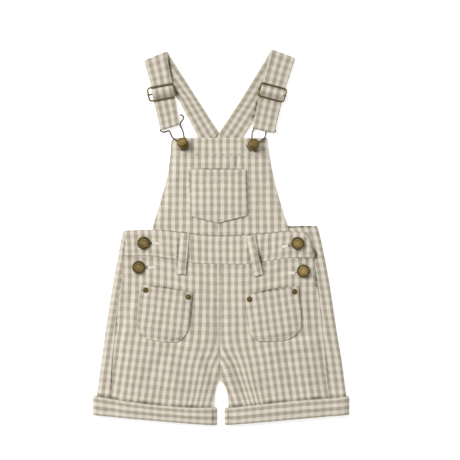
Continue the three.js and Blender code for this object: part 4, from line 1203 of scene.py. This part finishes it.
def cuffs():
    pieces = {}
    for side in SIDES:
        low, high = between_rolls(side)
        x_low = np.linspace(low, high, 131)
        angle = np.linspace(0, np.pi, 12)[1:-1]
        rows, grains, halves = [], [], []
        for v in stations(CUFF_DEPTH, VERY_FINE):
            edge = min(v, 1 - v) * CUFF_DEPTH

            def y(x, side=side, v=v):
                return lerp(side.cuff_top(x), side.cuff_bottom(x), v)

            def end(x, sign, y=y, edge=edge):
                """The roll at an end: up from the lower layer to the upper one."""
                bend = CUFF_BEND - 0.3 * float(climb(edge, 1.5, 0))
                height = CUFF_CLOTH / 2 + CUFF_BEND * (1 - np.cos(angle))
                return np.c_[x + sign * bend * np.sin(angle), 0 * angle + y(x), height]

            x_top = x_low[::-1]
            lower = np.c_[x_low, y(x_low), 0 * x_low + CUFF_CLOTH / 2]
            upper = np.c_[x_top, y(x_top), cuff_level(side, x_top, v)]
            row = np.concatenate([lower, end(high, 1), upper, end(low, -1)[::-1]])
            rows.append(row)
            grains.append(np.c_[np.full(len(row), v * CUFF_DEPTH + 5.5), travelled(row[:, [0, 2]])])
            halves.append(np.full(len(row), float(rounded(edge, CUFF_CLOTH))))
        name = f"cuff_{side.name}"
        pieces[name] = shell(name, np.array(rows), np.array(halves), np.array(grains), GINGHAM, ring=True)
    return pieces


# Shoulder straps
STRAP_STITCH = 2.1     # stitching from the strap's edges
STRAP_PAINTED_SHADE = 0.14      # painted shade: the straps darkened a little all over, as if less light reached them
RETURN_LAYER = FLOOR_LAYER + CLOTH + GAP
UPPER_LAYER = RETURN_LAYER + CLOTH + GAP
HOOK_BEND = (WIRE + 2 * GAP + CLOTH) / 2
SLIDER_LEVEL = UPPER_LAYER + CLOTH / 2 + GAP + BAR / 2
HUMP = SLIDER_LEVEL + BAR / 2 + GAP + CLOTH / 2
WIRE_LEVEL = RETURN_LAYER + HOOK_BEND
SLIDER = SimpleNamespace(
    length=35.2,
    height=18.8,
    corner=3.4,
    pitch=8.4,           # from the middle bar to the long sides
    radius=1.1,          # of the frame's wire
    bar_radius=1.034,    # of the middle bar
    collar=1.6,          # half the length of the rolled ends of the bar
    collar_radius=1.65,
)


def strap(name, outward, fold_out, slider, width, shift, turn, **lines):
    """A strap's named lines across, each from its outer to its neck edge. shift: its place along the bar."""
    ends = {key: tuple(np.array(end, float) for end in line) for key, line in lines.items()}
    return SimpleNamespace(
        name=name, outward=outward, fold_out=np.array(fold_out), middle=np.array(slider), width=width,
        shift=shift, turn=turn, **ends)


STRAPS = (
    strap(
        "left", -1, (-0.38, 0.92), slider=(-74.2, 180.3), width=27.2, shift=2, turn=0.192,
        fold=((-96, 219.4), (-66.8, 231.4)),
        hook=((-75.7, 134.2), (-51.8, 141.6)),
        drawn=((-54.2, 173), (-29.6, 173)),
        back=((-18.8, 107.1), (-2.7, 131.2))),
    strap(
        "right", 1, (0.37, 0.93), slider=(63.9, 180.5), width=29.4, shift=0, turn=-0.262,
        fold=((92.5, 222.6), (62.6, 234)),
        hook=((67, 130.8), (39.2, 137.2)),
        drawn=((57, 171), (25.4, 173)),
        back=((15.6, 106.6), (-2.1, 131.2))),
)


def hook_line(strap):
    """The line that the strap's lower end turns about."""
    outer, neck = strap.hook
    axis = (neck - outer) / np.linalg.norm(neck - outer)
    up = np.array([-axis[1], axis[0]]) * np.sign(axis[0])
    inset = HOOK_BEND + CLOTH / 2 - 1.3
    return up, (outer + up * inset, neck + up * inset)


def strap_line(strap):
    """Edges and heights of the strap, station by station, from the back bib to its free end."""
    along = np.array([-math.sin(strap.turn), math.cos(strap.turn)])
    sideways = np.array([along[1], -along[0]]) * -strap.outward
    stops = []

    def put(line, z_outer, z_neck=None):
        z_neck = z_outer if z_neck is None else z_neck
        stops.append((np.append(line[0], z_outer), np.append(line[1], z_neck)))

    def bar_line(offset):
        middle = strap.middle + along * offset + sideways * strap.shift
        half = sideways * strap.width / 2
        return middle - half, middle + half

    def between(a, b, t):
        return lerp(a[0], b[0], t), lerp(a[1], b[1], t)

    def on_back_bib(y):
        return float(lerp(FLOOR_LAYER, RETURN_LAYER, climb(y, BACK_BIB_TOP + 18, BACK_BIB_TOP + 5)))

    for t in np.arange(0, 0.99, 0.09):
        line = between(strap.back, strap.drawn, t)
        put(line, on_back_bib(line[0][1]), on_back_bib(line[1][1]))
    for t in np.arange(0, 0.97, 0.12):
        put(between(strap.drawn, strap.fold, t), FLOOR_LAYER)
    bend = (SECOND_LAYER - FLOOR_LAYER) / 2
    for angle in np.linspace(0, np.pi, 7):
        push = strap.fold_out * bend * math.sin(angle)
        put((strap.fold[0] + push, strap.fold[1] + push), FLOOR_LAYER + bend * (1 - math.cos(angle)))
    top_edge = bar_line(SLIDER.pitch + 4)
    for t, rise in ((0.04, 0), (0.35, 0.2), (0.7, 0.7), (1, 1)):
        put(between(strap.fold, top_edge, t), lerp(SECOND_LAYER, UPPER_LAYER, rise))
    edge = SLIDER.pitch + 1
    for offset in (edge, 7, 5.3, 3.9, 2.4, 1, -1, -2.4, -3.9, -5.3, -7, -edge):
        t = min(max((abs(offset) - 1) / (SLIDER.pitch - 2), 0), 1)
        put(bar_line(offset), lerp(HUMP, UPPER_LAYER, (1 - math.cos(math.pi * t)) / 2))
    low_edge = bar_line(-edge)
    up, turn_line = hook_line(strap)
    top = RETURN_LAYER + 2 * HOOK_BEND
    for t, rise in ((0.3, 0), (0.6, 0.1), (0.8, 0.45), (0.92, 0.85)):
        put(between(low_edge, turn_line, t), lerp(UPPER_LAYER, top, rise))
    for angle in np.linspace(0, np.pi, 9):
        push = -up * HOOK_BEND * math.sin(angle)
        put((turn_line[0] + push, turn_line[1] + push), WIRE_LEVEL + HOOK_BEND * math.cos(angle))
    for t in (0.8, 0.5, 0.2, 0):
        put(between(low_edge, turn_line, t), RETURN_LAYER)
    for offset, rise in ((-6, 0), (-3.5, 0.35), (-1.2, 0.9), (0.6, 1)):
        put(bar_line(offset), lerp(RETURN_LAYER, SLIDER_LEVEL - BAR / 2 - GAP - CLOTH / 2, rise))
    return np.array(stops)


def refine(stops, pitch):
    """Stations at an even pitch on a smooth curve through the stops, with the distance along."""
    distance = travelled(stops.mean(1))
    t = stations(distance[-1], pitch) * distance[-1]
    return smooth(distance, stops, t), t


def strap_piece(strap):
    stops = strap_line(strap)
    lines, distance = refine(stops, VERY_FINE)
    across = stations(strap.width, FINE)
    middle = lines[:, None, 0] + (lines[:, None, 1] - lines[:, None, 0]) * across[None, :, None]
    u, t = np.meshgrid(across, distance)
    edge = np.minimum(u, 1 - u) * strap.width
    half = np.minimum(rounded(edge, CLOTH), rounded(np.minimum(t, distance[-1] - t), CLOTH))
    half = half + 0.2 * climb(edge, 2.4, 6) * climb(t, 0, 8) + groove(edge - STRAP_STITCH, 0.12, 0.8)
    up = normals(middle)
    middle = middle + up * (0.12 * rumple(t, u * 20, 17, 21) * climb(edge, 0, 6))[..., None]
    grain = np.dstack([(u - 0.5) * strap.width, t])
    piece = shell(f"strap_{strap.name}", middle, half, grain, GINGHAM, dark=STRAP_PAINTED_SHADE)
    rows = []
    shown = t[:, 0] < distance[-1] - 62
    for share in (STRAP_STITCH / strap.width, 1 - STRAP_STITCH / strap.width):
        k = int(np.argmin(np.abs(across - share)))
        face = np.sign(up[:, k, 2:]) * FACE
        rows.append((middle[:, k] + up[:, k] * face)[shown])
    return piece, stitches(f"stitches_strap_{strap.name}", rows)


# Rows of stitches, buttonholes and tacks
BUTTONHOLES = table(
    "piece start end",
    ("front_waistband", (-85.6, -7.6), (-77.2, -8)),
    ("front_leg_left", (-91, -37.6), (-82.4, -37.6)),
    ("front_waistband", (83.2, -10.7), (76.6, -12)),
    ("front_leg_right", (92.2, -44.3), (84, -45.5)),
)
TACKS = table("start end", ((-38.6, 82.9), (-34, 82.7)), ((26, 82.7), (30.6, 82.9)))
HOLE_LIP = -0.05       # where the satin stitches beside a buttonhole's slit begin
HOLE_EDGE = 1.7        # and where they end
TACK_HALF = 0.9        # half the width of a tack

# Where the straight rows begin and end, along the garment or across it
BIB_ROWS = (9.0, 122)
TAB_ROWS = (-20.5, 5)
BAND_TOP_ROW = (-118, 104)
BAND_BOTTOM_ROW = (-119, 113)
CENTRE_ROWS = (-36.0, -172)
CUFF_INSET = 5.5       # of a cuff's row, from the cuff's ends


def pocket_rows(pocket):
    """The stitching round a pocket, inside its outline, and along its hem."""
    t = np.linspace(0, 1, 80)
    level = partial(pocket_cloth, pocket)
    low_left, low_right = float(pocket.left(pocket.corner)), float(pocket.right(pocket.corner))
    y_left = lerp(float(pocket.top(low_left)), pocket.corner, t)
    y_right = lerp(pocket.corner, float(pocket.top(low_right)), t)
    x_low = lerp(low_left + 0.6, low_right - 0.6, t)
    outline = np.concatenate([
        np.c_[pocket.left(y_left), y_left], np.c_[x_low, pocket.bottom(x_low)],
        np.c_[pocket.right(y_right), y_right]])
    heading = np.gradient(outline, axis=0)
    heading /= np.linalg.norm(heading, axis=1, keepdims=True)
    inset = outline + EDGE_STITCH * np.c_[-heading[:, 1], heading[:, 0]]
    x_hem = lerp(low_left + 4, low_right - 4, t)
    return [on_face(level, *inset[4:-4].T), on_face(level, x_hem, pocket.top(x_hem) - pocket.hem)]


def stitching():
    """Rows of stitches for each piece that shows them."""
    t = np.linspace(0, 1, 160)
    y_side = lerp(*BIB_ROWS, t)
    x_hem = lerp(float(bib_left(HEM_LINE)) + 2.4, float(bib_right(HEM_LINE)) - 2.4, t)
    y_end = lerp(*TAB_ROWS, t)
    x_top = lerp(*BAND_TOP_ROW, t)
    x_bottom = lerp(*BAND_BOTTOM_ROW, t)
    y_seam = lerp(*CENTRE_ROWS, t)
    rows = {
        "front_bib": [
            on_face(bib_cloth, bib_left(y_side) + SEAM_STITCH, y_side),
            on_face(bib_cloth, bib_right(y_side) - SEAM_STITCH, y_side),
            on_face(bib_cloth, x_hem, HEM_LINE)],
        "front_waistband": [
            on_face(band_cloth, x_top, waist_top(x_top) - BAND_STITCH),
            on_face(band_cloth, x_bottom, waist_bottom(x_bottom) + BAND_STITCH),
            on_face(band_cloth, LEFT.tab_edge(y_end) + TAB_STITCH, y_end),
            on_face(band_cloth, RIGHT.tab_edge(y_end) - TAB_STITCH, y_end)],
        "front_leg_left": [on_face(leg_cloth, CENTRE_X - SEAM_STITCH, y_seam)],
        "front_leg_right": [on_face(leg_cloth, CENTRE_X + SEAM_STITCH, y_seam)],
    }
    for pocket in (CHEST_POCKET, *HIP_POCKETS):
        rows[pocket.name] = pocket_rows(pocket)
    for loop in BELT_LOOPS:
        rows[f"belt_loop_{loop.name}"] = [
            loop_surface(loop, np.full((1, 160), share), t[None])[0] + (0, 0, FACE)
            for share in (LOOP_STITCH / LOOP_WIDTH, 1 - LOOP_STITCH / LOOP_WIDTH)]
    for side in SIDES:
        x = lerp(side.cuff_span[0] + CUFF_INSET, side.cuff_span[1] - CUFF_INSET, t)
        v = CUFF_STITCH / CUFF_DEPTH
        y = lerp(side.cuff_top(x), side.cuff_bottom(x), v)
        rows[f"cuff_{side.name}"] = [np.c_[x, y, cuff_level(side, x, v) + FACE + (CUFF_CLOTH - CLOTH) / 2]]
    made = {name: [stitches(f"stitches_{name}", lines)] for name, lines in rows.items()}
    for k, hole in enumerate(BUTTONHOLES):
        bars = [(hole.start, hole.end, s * HOLE_LIP, s * HOLE_EDGE) for s in (-1, 1)]
        made[hole.piece].append(satin_bars(f"buttonhole_{k + 1}", front_cloth, bars, SATIN, 1.35))
    bars = [(tack.start, tack.end, -TACK_HALF, TACK_HALF) for tack in TACKS]
    tacks = satin_bars("tacks_chest_pocket", partial(pocket_cloth, CHEST_POCKET), bars)
    made["chest_pocket"].append(tacks)
    return made


# Metal parts
def tube(name, path, radius, material, closed=False, sides=16):
    """A round wire along a dense path of points, with rounded ends."""
    path = np.asarray(path, float)
    if closed:
        ahead = np.roll(path, -1, 0) - np.roll(path, 1, 0)
    else:
        ahead = np.concatenate([path[1:], path[-1:]]) - np.concatenate([path[:1], path[:-1]])
    ahead /= np.linalg.norm(ahead, axis=1, keepdims=True)
    side = np.empty_like(path)
    side[0] = np.cross(ahead[0], (0.0, 0.0, 1.0))
    side[0] /= np.linalg.norm(side[0])
    for i in range(1, len(path)):
        s = side[i - 1] - ahead[i] * np.dot(side[i - 1], ahead[i])
        side[i] = s / np.linalg.norm(s)
    up = np.cross(side, ahead)
    radii = np.full(len(path), float(radius))
    if not closed:
        away = np.linalg.norm(path - path[0], axis=1)
        away = np.minimum(away, np.linalg.norm(path - path[-1], axis=1))
        radii = radius * np.sqrt(np.maximum(1 - (1 - np.clip(away / radius, 0, 1)) ** 2, 0.01))
    angle = np.linspace(0, 2 * np.pi, sides, endpoint=False)
    ring = np.cos(angle)[None, :, None] * side[:, None] + np.sin(angle)[None, :, None] * up[:, None]
    tips = [] if closed else [path[0], path[-1]]
    return ringed(name, path[:, None] + ring * radii[:, None, None], tips, material)


def resampled(path, distance, places):
    """Points on a path at given distances along it."""
    return np.stack([np.interp(places, distance, path[:, k]) for k in range(3)], -1)


def smooth_path(points, pitch):
    """An even, dense path on a smooth curve through the points."""
    points = np.asarray(points, float)
    gaps = np.linalg.norm(np.diff(points, axis=0), axis=1) ** 0.5
    key = np.concatenate([[0], np.cumsum(gaps)])
    curve = smooth(key, points, np.linspace(0, key[-1], 900))
    distance = travelled(curve)
    return resampled(curve, distance, np.linspace(0, distance[-1], int(distance[-1] / pitch) + 1))


def joined(name, parts):
    """Several mesh objects as one."""
    bpy.ops.object.select_all(action="DESELECT")
    for part in parts:
        part.select_set(True)
    bpy.context.view_layer.objects.active = parts[0]
    bpy.ops.object.join()
    parts[0].name = name
    parts[0].data.name = name
    return parts[0]


def placed(points, turn, x, y, z):
    """Points turned about +Z and moved."""
    c, s = math.cos(turn), math.sin(turn)
    return points @ np.array([(c, s, 0), (-s, c, 0), (0, 0, 1)]) + (x, y, z)


def slider(strap):
    half_x, half_y = SLIDER.length / 2 - SLIDER.radius, SLIDER.height / 2 - SLIDER.radius
    corner = SLIDER.corner
    path = []
    for quarter, (cx, cy) in enumerate(((1, 1), (-1, 1), (-1, -1), (1, -1))):
        for angle in np.linspace(0, np.pi / 2, 9) + quarter * np.pi / 2:
            x = cx * (half_x - corner) + corner * math.cos(angle)
            y = cy * (half_y - corner) + corner * math.sin(angle)
            path.append((x, y, 0))
    path = np.array(path + path[:1])
    distance = travelled(path)
    ring = resampled(path, distance, np.linspace(0, distance[-1], 121)[:-1])
    spot = (*strap.middle, SLIDER_LEVEL)
    parts = [tube("ring", placed(ring, strap.turn, *spot), SLIDER.radius, SLIDER_BRASS, closed=True)]
    bar = np.c_[np.linspace(-half_x, half_x, 40), np.zeros(40), np.zeros(40)]
    parts.append(tube("bar", placed(bar, strap.turn, *spot), SLIDER.bar_radius, SLIDER_BRASS))
    for end in (-1, 1):
        collar = np.linspace(-SLIDER.collar, SLIDER.collar, 14)
        roll = np.c_[np.full(14, end * half_x), collar, np.zeros(14)]
        parts.append(tube("collar", placed(roll, strap.turn, *spot), SLIDER.collar_radius, SLIDER_BRASS))
    return joined(f"slider_{strap.name}", parts)


BIB_BUTTONS = {
    "left": SimpleNamespace(x=-46.4, y=115.4, lean=0.62, heading=1.72, shift=-0.8),
    "right": SimpleNamespace(x=40.2, y=114, lean=0.62, heading=1.2, shift=-0.4),
}
WIRE_RADIUS = WIRE / 2 + 0.15      # of the hook as it shows
SHANK_CLEAR = 2.7                  # radius round the shank that the wire keeps out of
LOOP_RADIUS = SHANK_CLEAR + GAP + WIRE / 2 + 0.2


def hook_path(strap, turn, turn_level, leg, start, end, rise, curl, curl_level):
    """The wire's line: bar in the strap's fold, a U-turn, round the shank and up to a curl."""
    button = BIB_BUTTONS[strap.name]
    low = level_at(bib_level, button.x, button.y) + CLOTH + GAP + WIRE / 2 + 0.55
    points = []

    def put(places, first, last):
        for i, (x, y) in enumerate(places):
            points.append((x, y, lerp(first, last, (i + 1) / len(places))))

    _, (outer, neck) = hook_line(strap)
    put([lerp(outer, neck, t) for t in (0.75, 0.4, 0.05)], WIRE_LEVEL, WIRE_LEVEL)
    put(turn, WIRE_LEVEL, turn_level)
    put(leg, turn_level, low)
    for angle in np.linspace(start, end, 7):
        x, y = LOOP_RADIUS * math.cos(angle), LOOP_RADIUS * math.sin(angle)
        points.append((button.x + x, button.y + y, low))
    put(rise, low, curl_level)
    put(curl, curl_level, curl_level)
    return smooth_path(points, 0.5)


HOOKS = {
    "left": dict(
        turn=[(-75.3, 135), (-75.5, 133), (-73.6, 131.5), (-70.4, 131.1), (-67, 132.1)],
        turn_level=WIRE_LEVEL + 0.3,
        leg=[(-64.4, 132.4), (-62.6, 128.8), (-60.4, 124.2), (-56, 120.8)],
        start=2.75, end=0.55 + 2 * math.pi,
        rise=[(-43.4, 120.6), (-46, 125.2), (-47, 130.6), (-48.7, 135.2), (-50.6, 139)],
        curl=[(-50.4, 142.6), (-48.8, 145), (-47.1, 147.4), (-46.8, 149.8), (-48.2, 152), (-50, 152.4),
              (-51, 151.6)],
        curl_level=WIRE_LEVEL + 0.3),
    "right": dict(
        turn=[(67.4, 134), (67.8, 132.8), (67.2, 131.8), (65, 132.2), (60.6, 133.4)],
        turn_level=WIRE / 2 + 0.2,
        leg=[(56.6, 132), (55.8, 128.6), (54.6, 124.4), (50.6, 120.6)],
        start=0.5, end=2.6 - 2 * math.pi,
        rise=[(37, 119.6), (38.6, 124.6), (38.9, 129.6), (40.6, 134.4), (43, 138.6)],
        curl=[(45, 142.4), (45.4, 146), (44.2, 148.4), (42.6, 148.6)],
        curl_level=WIRE / 2 + 0.2),
}


def lathe(name, profile, material, segments=64, tilt=0.0, heading=0.0, spot=(0, 0, 0)):
    """A turned solid about +Z from rows of radius, height and darkness (patina in grooves, painted shade on
    undersides), leaned by tilt towards heading.
    """
    rows = np.array([(p.r, p.z) for p in profile if p.r > 0], float)
    dark = np.repeat([p.dark for p in profile if p.r > 0], segments)
    dark = np.concatenate([dark, [profile[0].dark, profile[-1].dark]])
    angle = np.linspace(0, 2 * np.pi, segments, endpoint=False)
    z = np.broadcast_to(rows[:, 1:], (len(rows), segments))
    rings = np.stack([rows[:, :1] * np.cos(angle), rows[:, :1] * np.sin(angle), z], -1)
    tips = [(0, 0, profile[0].z), (0, 0, profile[-1].z)]
    c, s = math.cos(tilt), math.sin(tilt)
    lean = np.array([(c, 0, -s), (0, 1, 0), (s, 0, c)])
    rings, tips = (placed(np.array(p, float) @ lean, heading, *spot) for p in (rings, tips))
    return ringed(name, rings, tips, material, dark)


def rounded_profile(header, *rows):
    """A profile's corners softened: each inner point becomes a short curve."""
    points = np.array(rows, float)
    out = [points[0]]
    for before, here, after in zip(points[:-2], points[1:-1], points[2:]):
        run_in, run_out = math.dist(here[:2], before[:2]), math.dist(after[:2], here[:2])
        a = lerp(here, before, min(0.28 / run_in, 0.45))
        b = lerp(here, after, min(0.28 / run_out, 0.45))
        for t in (0, 0.33, 0.67, 1):
            out.append((1 - t) ** 2 * a + 2 * t * (1 - t) * here + t * t * b)
    out.append(points[-1])
    return table(header, *out)


# The dark column darkens the metal: patina in the grooves of the faces, and painted shade on the undersides,
# shanks and foot discs beneath the caps.
PROFILE = "r z dark"
BIB_CAP = rounded_profile(
    PROFILE, (0, -1.6, 1), (2, -1.6, 1), (2, 2.6, 1), (6.2, 2.7, 1), (6.9, 3, 0.9), (7.1, 3.4, 0.1),
    (7.05, 4, 0.1), (6.6, 4.3, 1), (6.45, 4.9, 1), (6.7, 5.2, 0.5), (6.4, 7.1, 0.6), (6.1, 7.9, 0.4),
    (5.6, 8.3, 0.2), (5.2, 8.35, 0.5), (4.9, 8.2, 1), (4.5, 8.25, 0.7), (4.2, 8.45, 0.1), (3.3, 8.5, 0),
    (3, 8.35, 0.7), (2.5, 8.37, 0.5), (2.2, 8.55, 0), (0, 8.6, 0))
SIDE_CAP = rounded_profile(
    PROFILE, (0, 0, 1), (2.4, 0, 1), (2.4, 2, 1), (7, 2.1, 1), (8, 2.6, 1), (8.25, 3.1, 0.8), (8, 3.6, 0.5),
    (7.5, 3.85, 1), (7.2, 4.25, 0.9), (6.8, 4.4, 0.3), (6.4, 4.3, 0.8), (6.1, 4, 1), (5.7, 4.1, 0.9),
    (5.3, 4.35, 0.2), (4.3, 4.4, 0), (4, 4.2, 0.8), (3.6, 4.2, 0.8), (3.3, 4.42, 0.1), (0, 4.5, 0))
RIVET = rounded_profile(
    PROFILE, (0, 0, 1), (3.5, 0, 1), (3.5, 0.5, 0.8), (3, 0.85, 0.4), (2.2, 0.9, 0.6), (1.9, 0.75, 1),
    (1.5, 0.8, 1), (1.2, 1.45, 0.4), (0, 1.6, 0.3))
FOOT_DISC = rounded_profile(
    PROFILE, (0, 0, 1), (6, 0, 1), (6, 0.3, 0.3), (5.4, 0.5, 0.4), (2.8, 0.5, 0.9), (2.4, 1.9, 1),
    (0, 1.9, 1))
RIVETS = table(
    "name x y",
    ("left_outer", -93.6, -65.6),
    ("left_inner", -40.6, -74.2),
    ("right_inner", 35.6, -77),
    ("right_outer", 91.4, -67.6),
)


def level_at(function, x, y):
    return float(function(np.array([float(x)]), np.array([float(y)]))[0])


def bib_button(side):
    b = BIB_BUTTONS[side]
    seat = level_at(bib_cloth, b.x, b.y) + CLOTH / 2 + 0.1
    parts = [lathe("foot", FOOT_DISC, BRASS, spot=(b.x, b.y, seat))]
    nominal = level_at(bib_level, b.x, b.y) + CLOTH + GAP
    spot = (b.x + b.shift, b.y - 0.9, nominal + 2.4)
    parts.append(lathe("cap", BIB_CAP, BRASS, tilt=b.lean, heading=b.heading, spot=spot))
    return joined(f"bib_button_{side}", parts)


def hardware():
    for s in STRAPS:
        finished(slider(s), "slider_metal", f"slider_{s.name}")
        wire = tube(f"hook_{s.name}", hook_path(s, **HOOKS[s.name]), WIRE_RADIUS, DARK_WIRE)
        finished(wire, "hook_wire", f"hook_{s.name}")
        finished(bib_button(s.name), "button_brass", f"bib_button_{s.name}")
    for b in SIDE_BUTTONS:
        seat = SECOND_LAYER + CLOTH / 2 + GAP
        name = f"side_button_{b.name}"
        cap = lathe(name, SIDE_CAP, BRASS, tilt=b.lean, heading=b.heading, spot=(b.x, b.y, seat + 0.2))
        finished(cap, "button_brass", name)
    for r in RIVETS:
        pocket = HIP_POCKETS[0] if r.x < 0 else HIP_POCKETS[1]
        top = level_at(partial(pocket_cloth, pocket), r.x, r.y) + CLOTH / 2
        head = lathe(f"rivet_{r.name}", RIVET, BRASS, segments=48, spot=(r.x, r.y, top + 0.05))
        finished(head, "button_brass", f"rivet_{r.name}")


# Cut sizes of the cloth that shows, in millimetres and square millimetres, and what each lies on
SHEETS = table(
    "name width length area held rests_on",
    ("front_bib", 166, 122, 16900, "laid", "back_bib"),
    ("chest_pocket", 73, 67, 4500, "laid", "front_bib"),
    ("hip_pocket_left", 69, 72, 4200, "laid", "front_leg_left"),
    ("hip_pocket_right", 70, 70, 4200, "laid", "front_leg_right"),
    ("front_waistband", 242, 34, 8100, "laid", "back_waistband"),
    ("front_leg_left", 137, 204, 25200, "laid", "back_leg_left"),
    ("front_leg_right", 138, 202, 24500, "laid", "back_leg_right"),
    ("belt_loop_left", 12, 52, 620, "laid", "front_waistband"),
    ("belt_loop_right", 12, 51, 610, "laid", "front_waistband"),
    ("back_bib", 156, 122, 13200, "laid", "floor"),
    ("back_waistband", 350, 61, 21000, "folded", "floor"),
    ("back_leg_left", 180, 181, 28000, "folded", "floor"),
    ("back_leg_right", 188, 181, 28900, "folded", "floor"),
    ("cuff_left", 313, 22, 6850, "folded", "front_leg_left"),
    ("cuff_right", 314, 23.4, 7330, "folded", "front_leg_right"),
    ("strap_left", 27.2, 272, 7300, "folded", "back_bib"),
    ("strap_right", 29.4, 286, 8400, "folded", "back_bib"),
)


# Camera, light and floor
LENS = 85
SENSOR = 36
VIEW_CENTRE = (11.25, 9.06)
VIEW_WIDTH = 575       # at the surface the garment lies on
FLOOR_HALF = 6000
FLOOR_DROP = 0.4       # below the garment
LAMPS = table(
    "name x y z size power",
    ("key", -1.7, 1.3, 1.85, 1.25, 72),
    ("fill", 1.2, -0.3, 1.6, 1.6, 2),
)
DAYLIGHT = 0.5         # of the whole surroundings


def studio():
    lens = bpy.data.cameras.new("camera")
    lens.lens = LENS
    lens.sensor_width = SENSOR
    lens.clip_end = 20
    camera = linked("camera", lens)
    camera.location = (VIEW_CENTRE[0] * MM, VIEW_CENTRE[1] * MM, VIEW_WIDTH * MM * LENS / SENSOR)
    bpy.context.scene.camera = camera

    mesh = bpy.data.meshes.new("floor")
    half, low = FLOOR_HALF * MM, -FLOOR_DROP * MM
    corners = [(-half, -half, low), (half, -half, low), (half, half, low), (-half, half, low)]
    mesh.from_pydata(corners, [], [(0, 1, 2, 3)])
    floor = linked("floor", mesh)
    paper, _, shader = node_tree("paper")
    shader.inputs["Base Color"].default_value = (0.9, 0.9, 0.9, 1)
    shader.inputs["Roughness"].default_value = 0.9
    shader.inputs["Specular IOR Level"].default_value = 0.0
    shader.inputs["Emission Color"].default_value = (1, 1, 1, 1)
    shader.inputs["Emission Strength"].default_value = 0.5
    mesh.materials.append(paper)

    world = bpy.data.worlds.new("studio")
    bpy.context.scene.world = world
    world.use_nodes = True
    background = world.node_tree.nodes["Background"]
    background.inputs[0].default_value = (1, 1, 1, 1)
    background.inputs[1].default_value = DAYLIGHT

    for row in LAMPS:
        light = bpy.data.lights.new(row.name, "AREA")
        light.size = row.size
        light.energy = row.power
        lamp = linked(row.name, light)
        lamp.location = (row.x, row.y, row.z)
        x, y, z = -row.x, -row.y, -row.z
        lamp.rotation_euler = (math.acos(-z / math.hypot(x, y, z)), 0, math.atan2(y, x) - math.pi / 2)
    bpy.context.scene.view_settings.view_transform = "Standard"


cloth = {**front_panels(), **patches(), **back_bib(), **back_waistband(), **back_legs(), **cuffs()}
sewn = stitching()
for s in STRAPS:
    cloth[f"strap_{s.name}"], sewing = strap_piece(s)
    sewn[f"strap_{s.name}"] = [sewing]
for name, piece in cloth.items():
    finished(piece, "gingham", name)
    for sewing in sewn.get(name, []):
        finished(sewing, "gingham")
hardware()
studio()
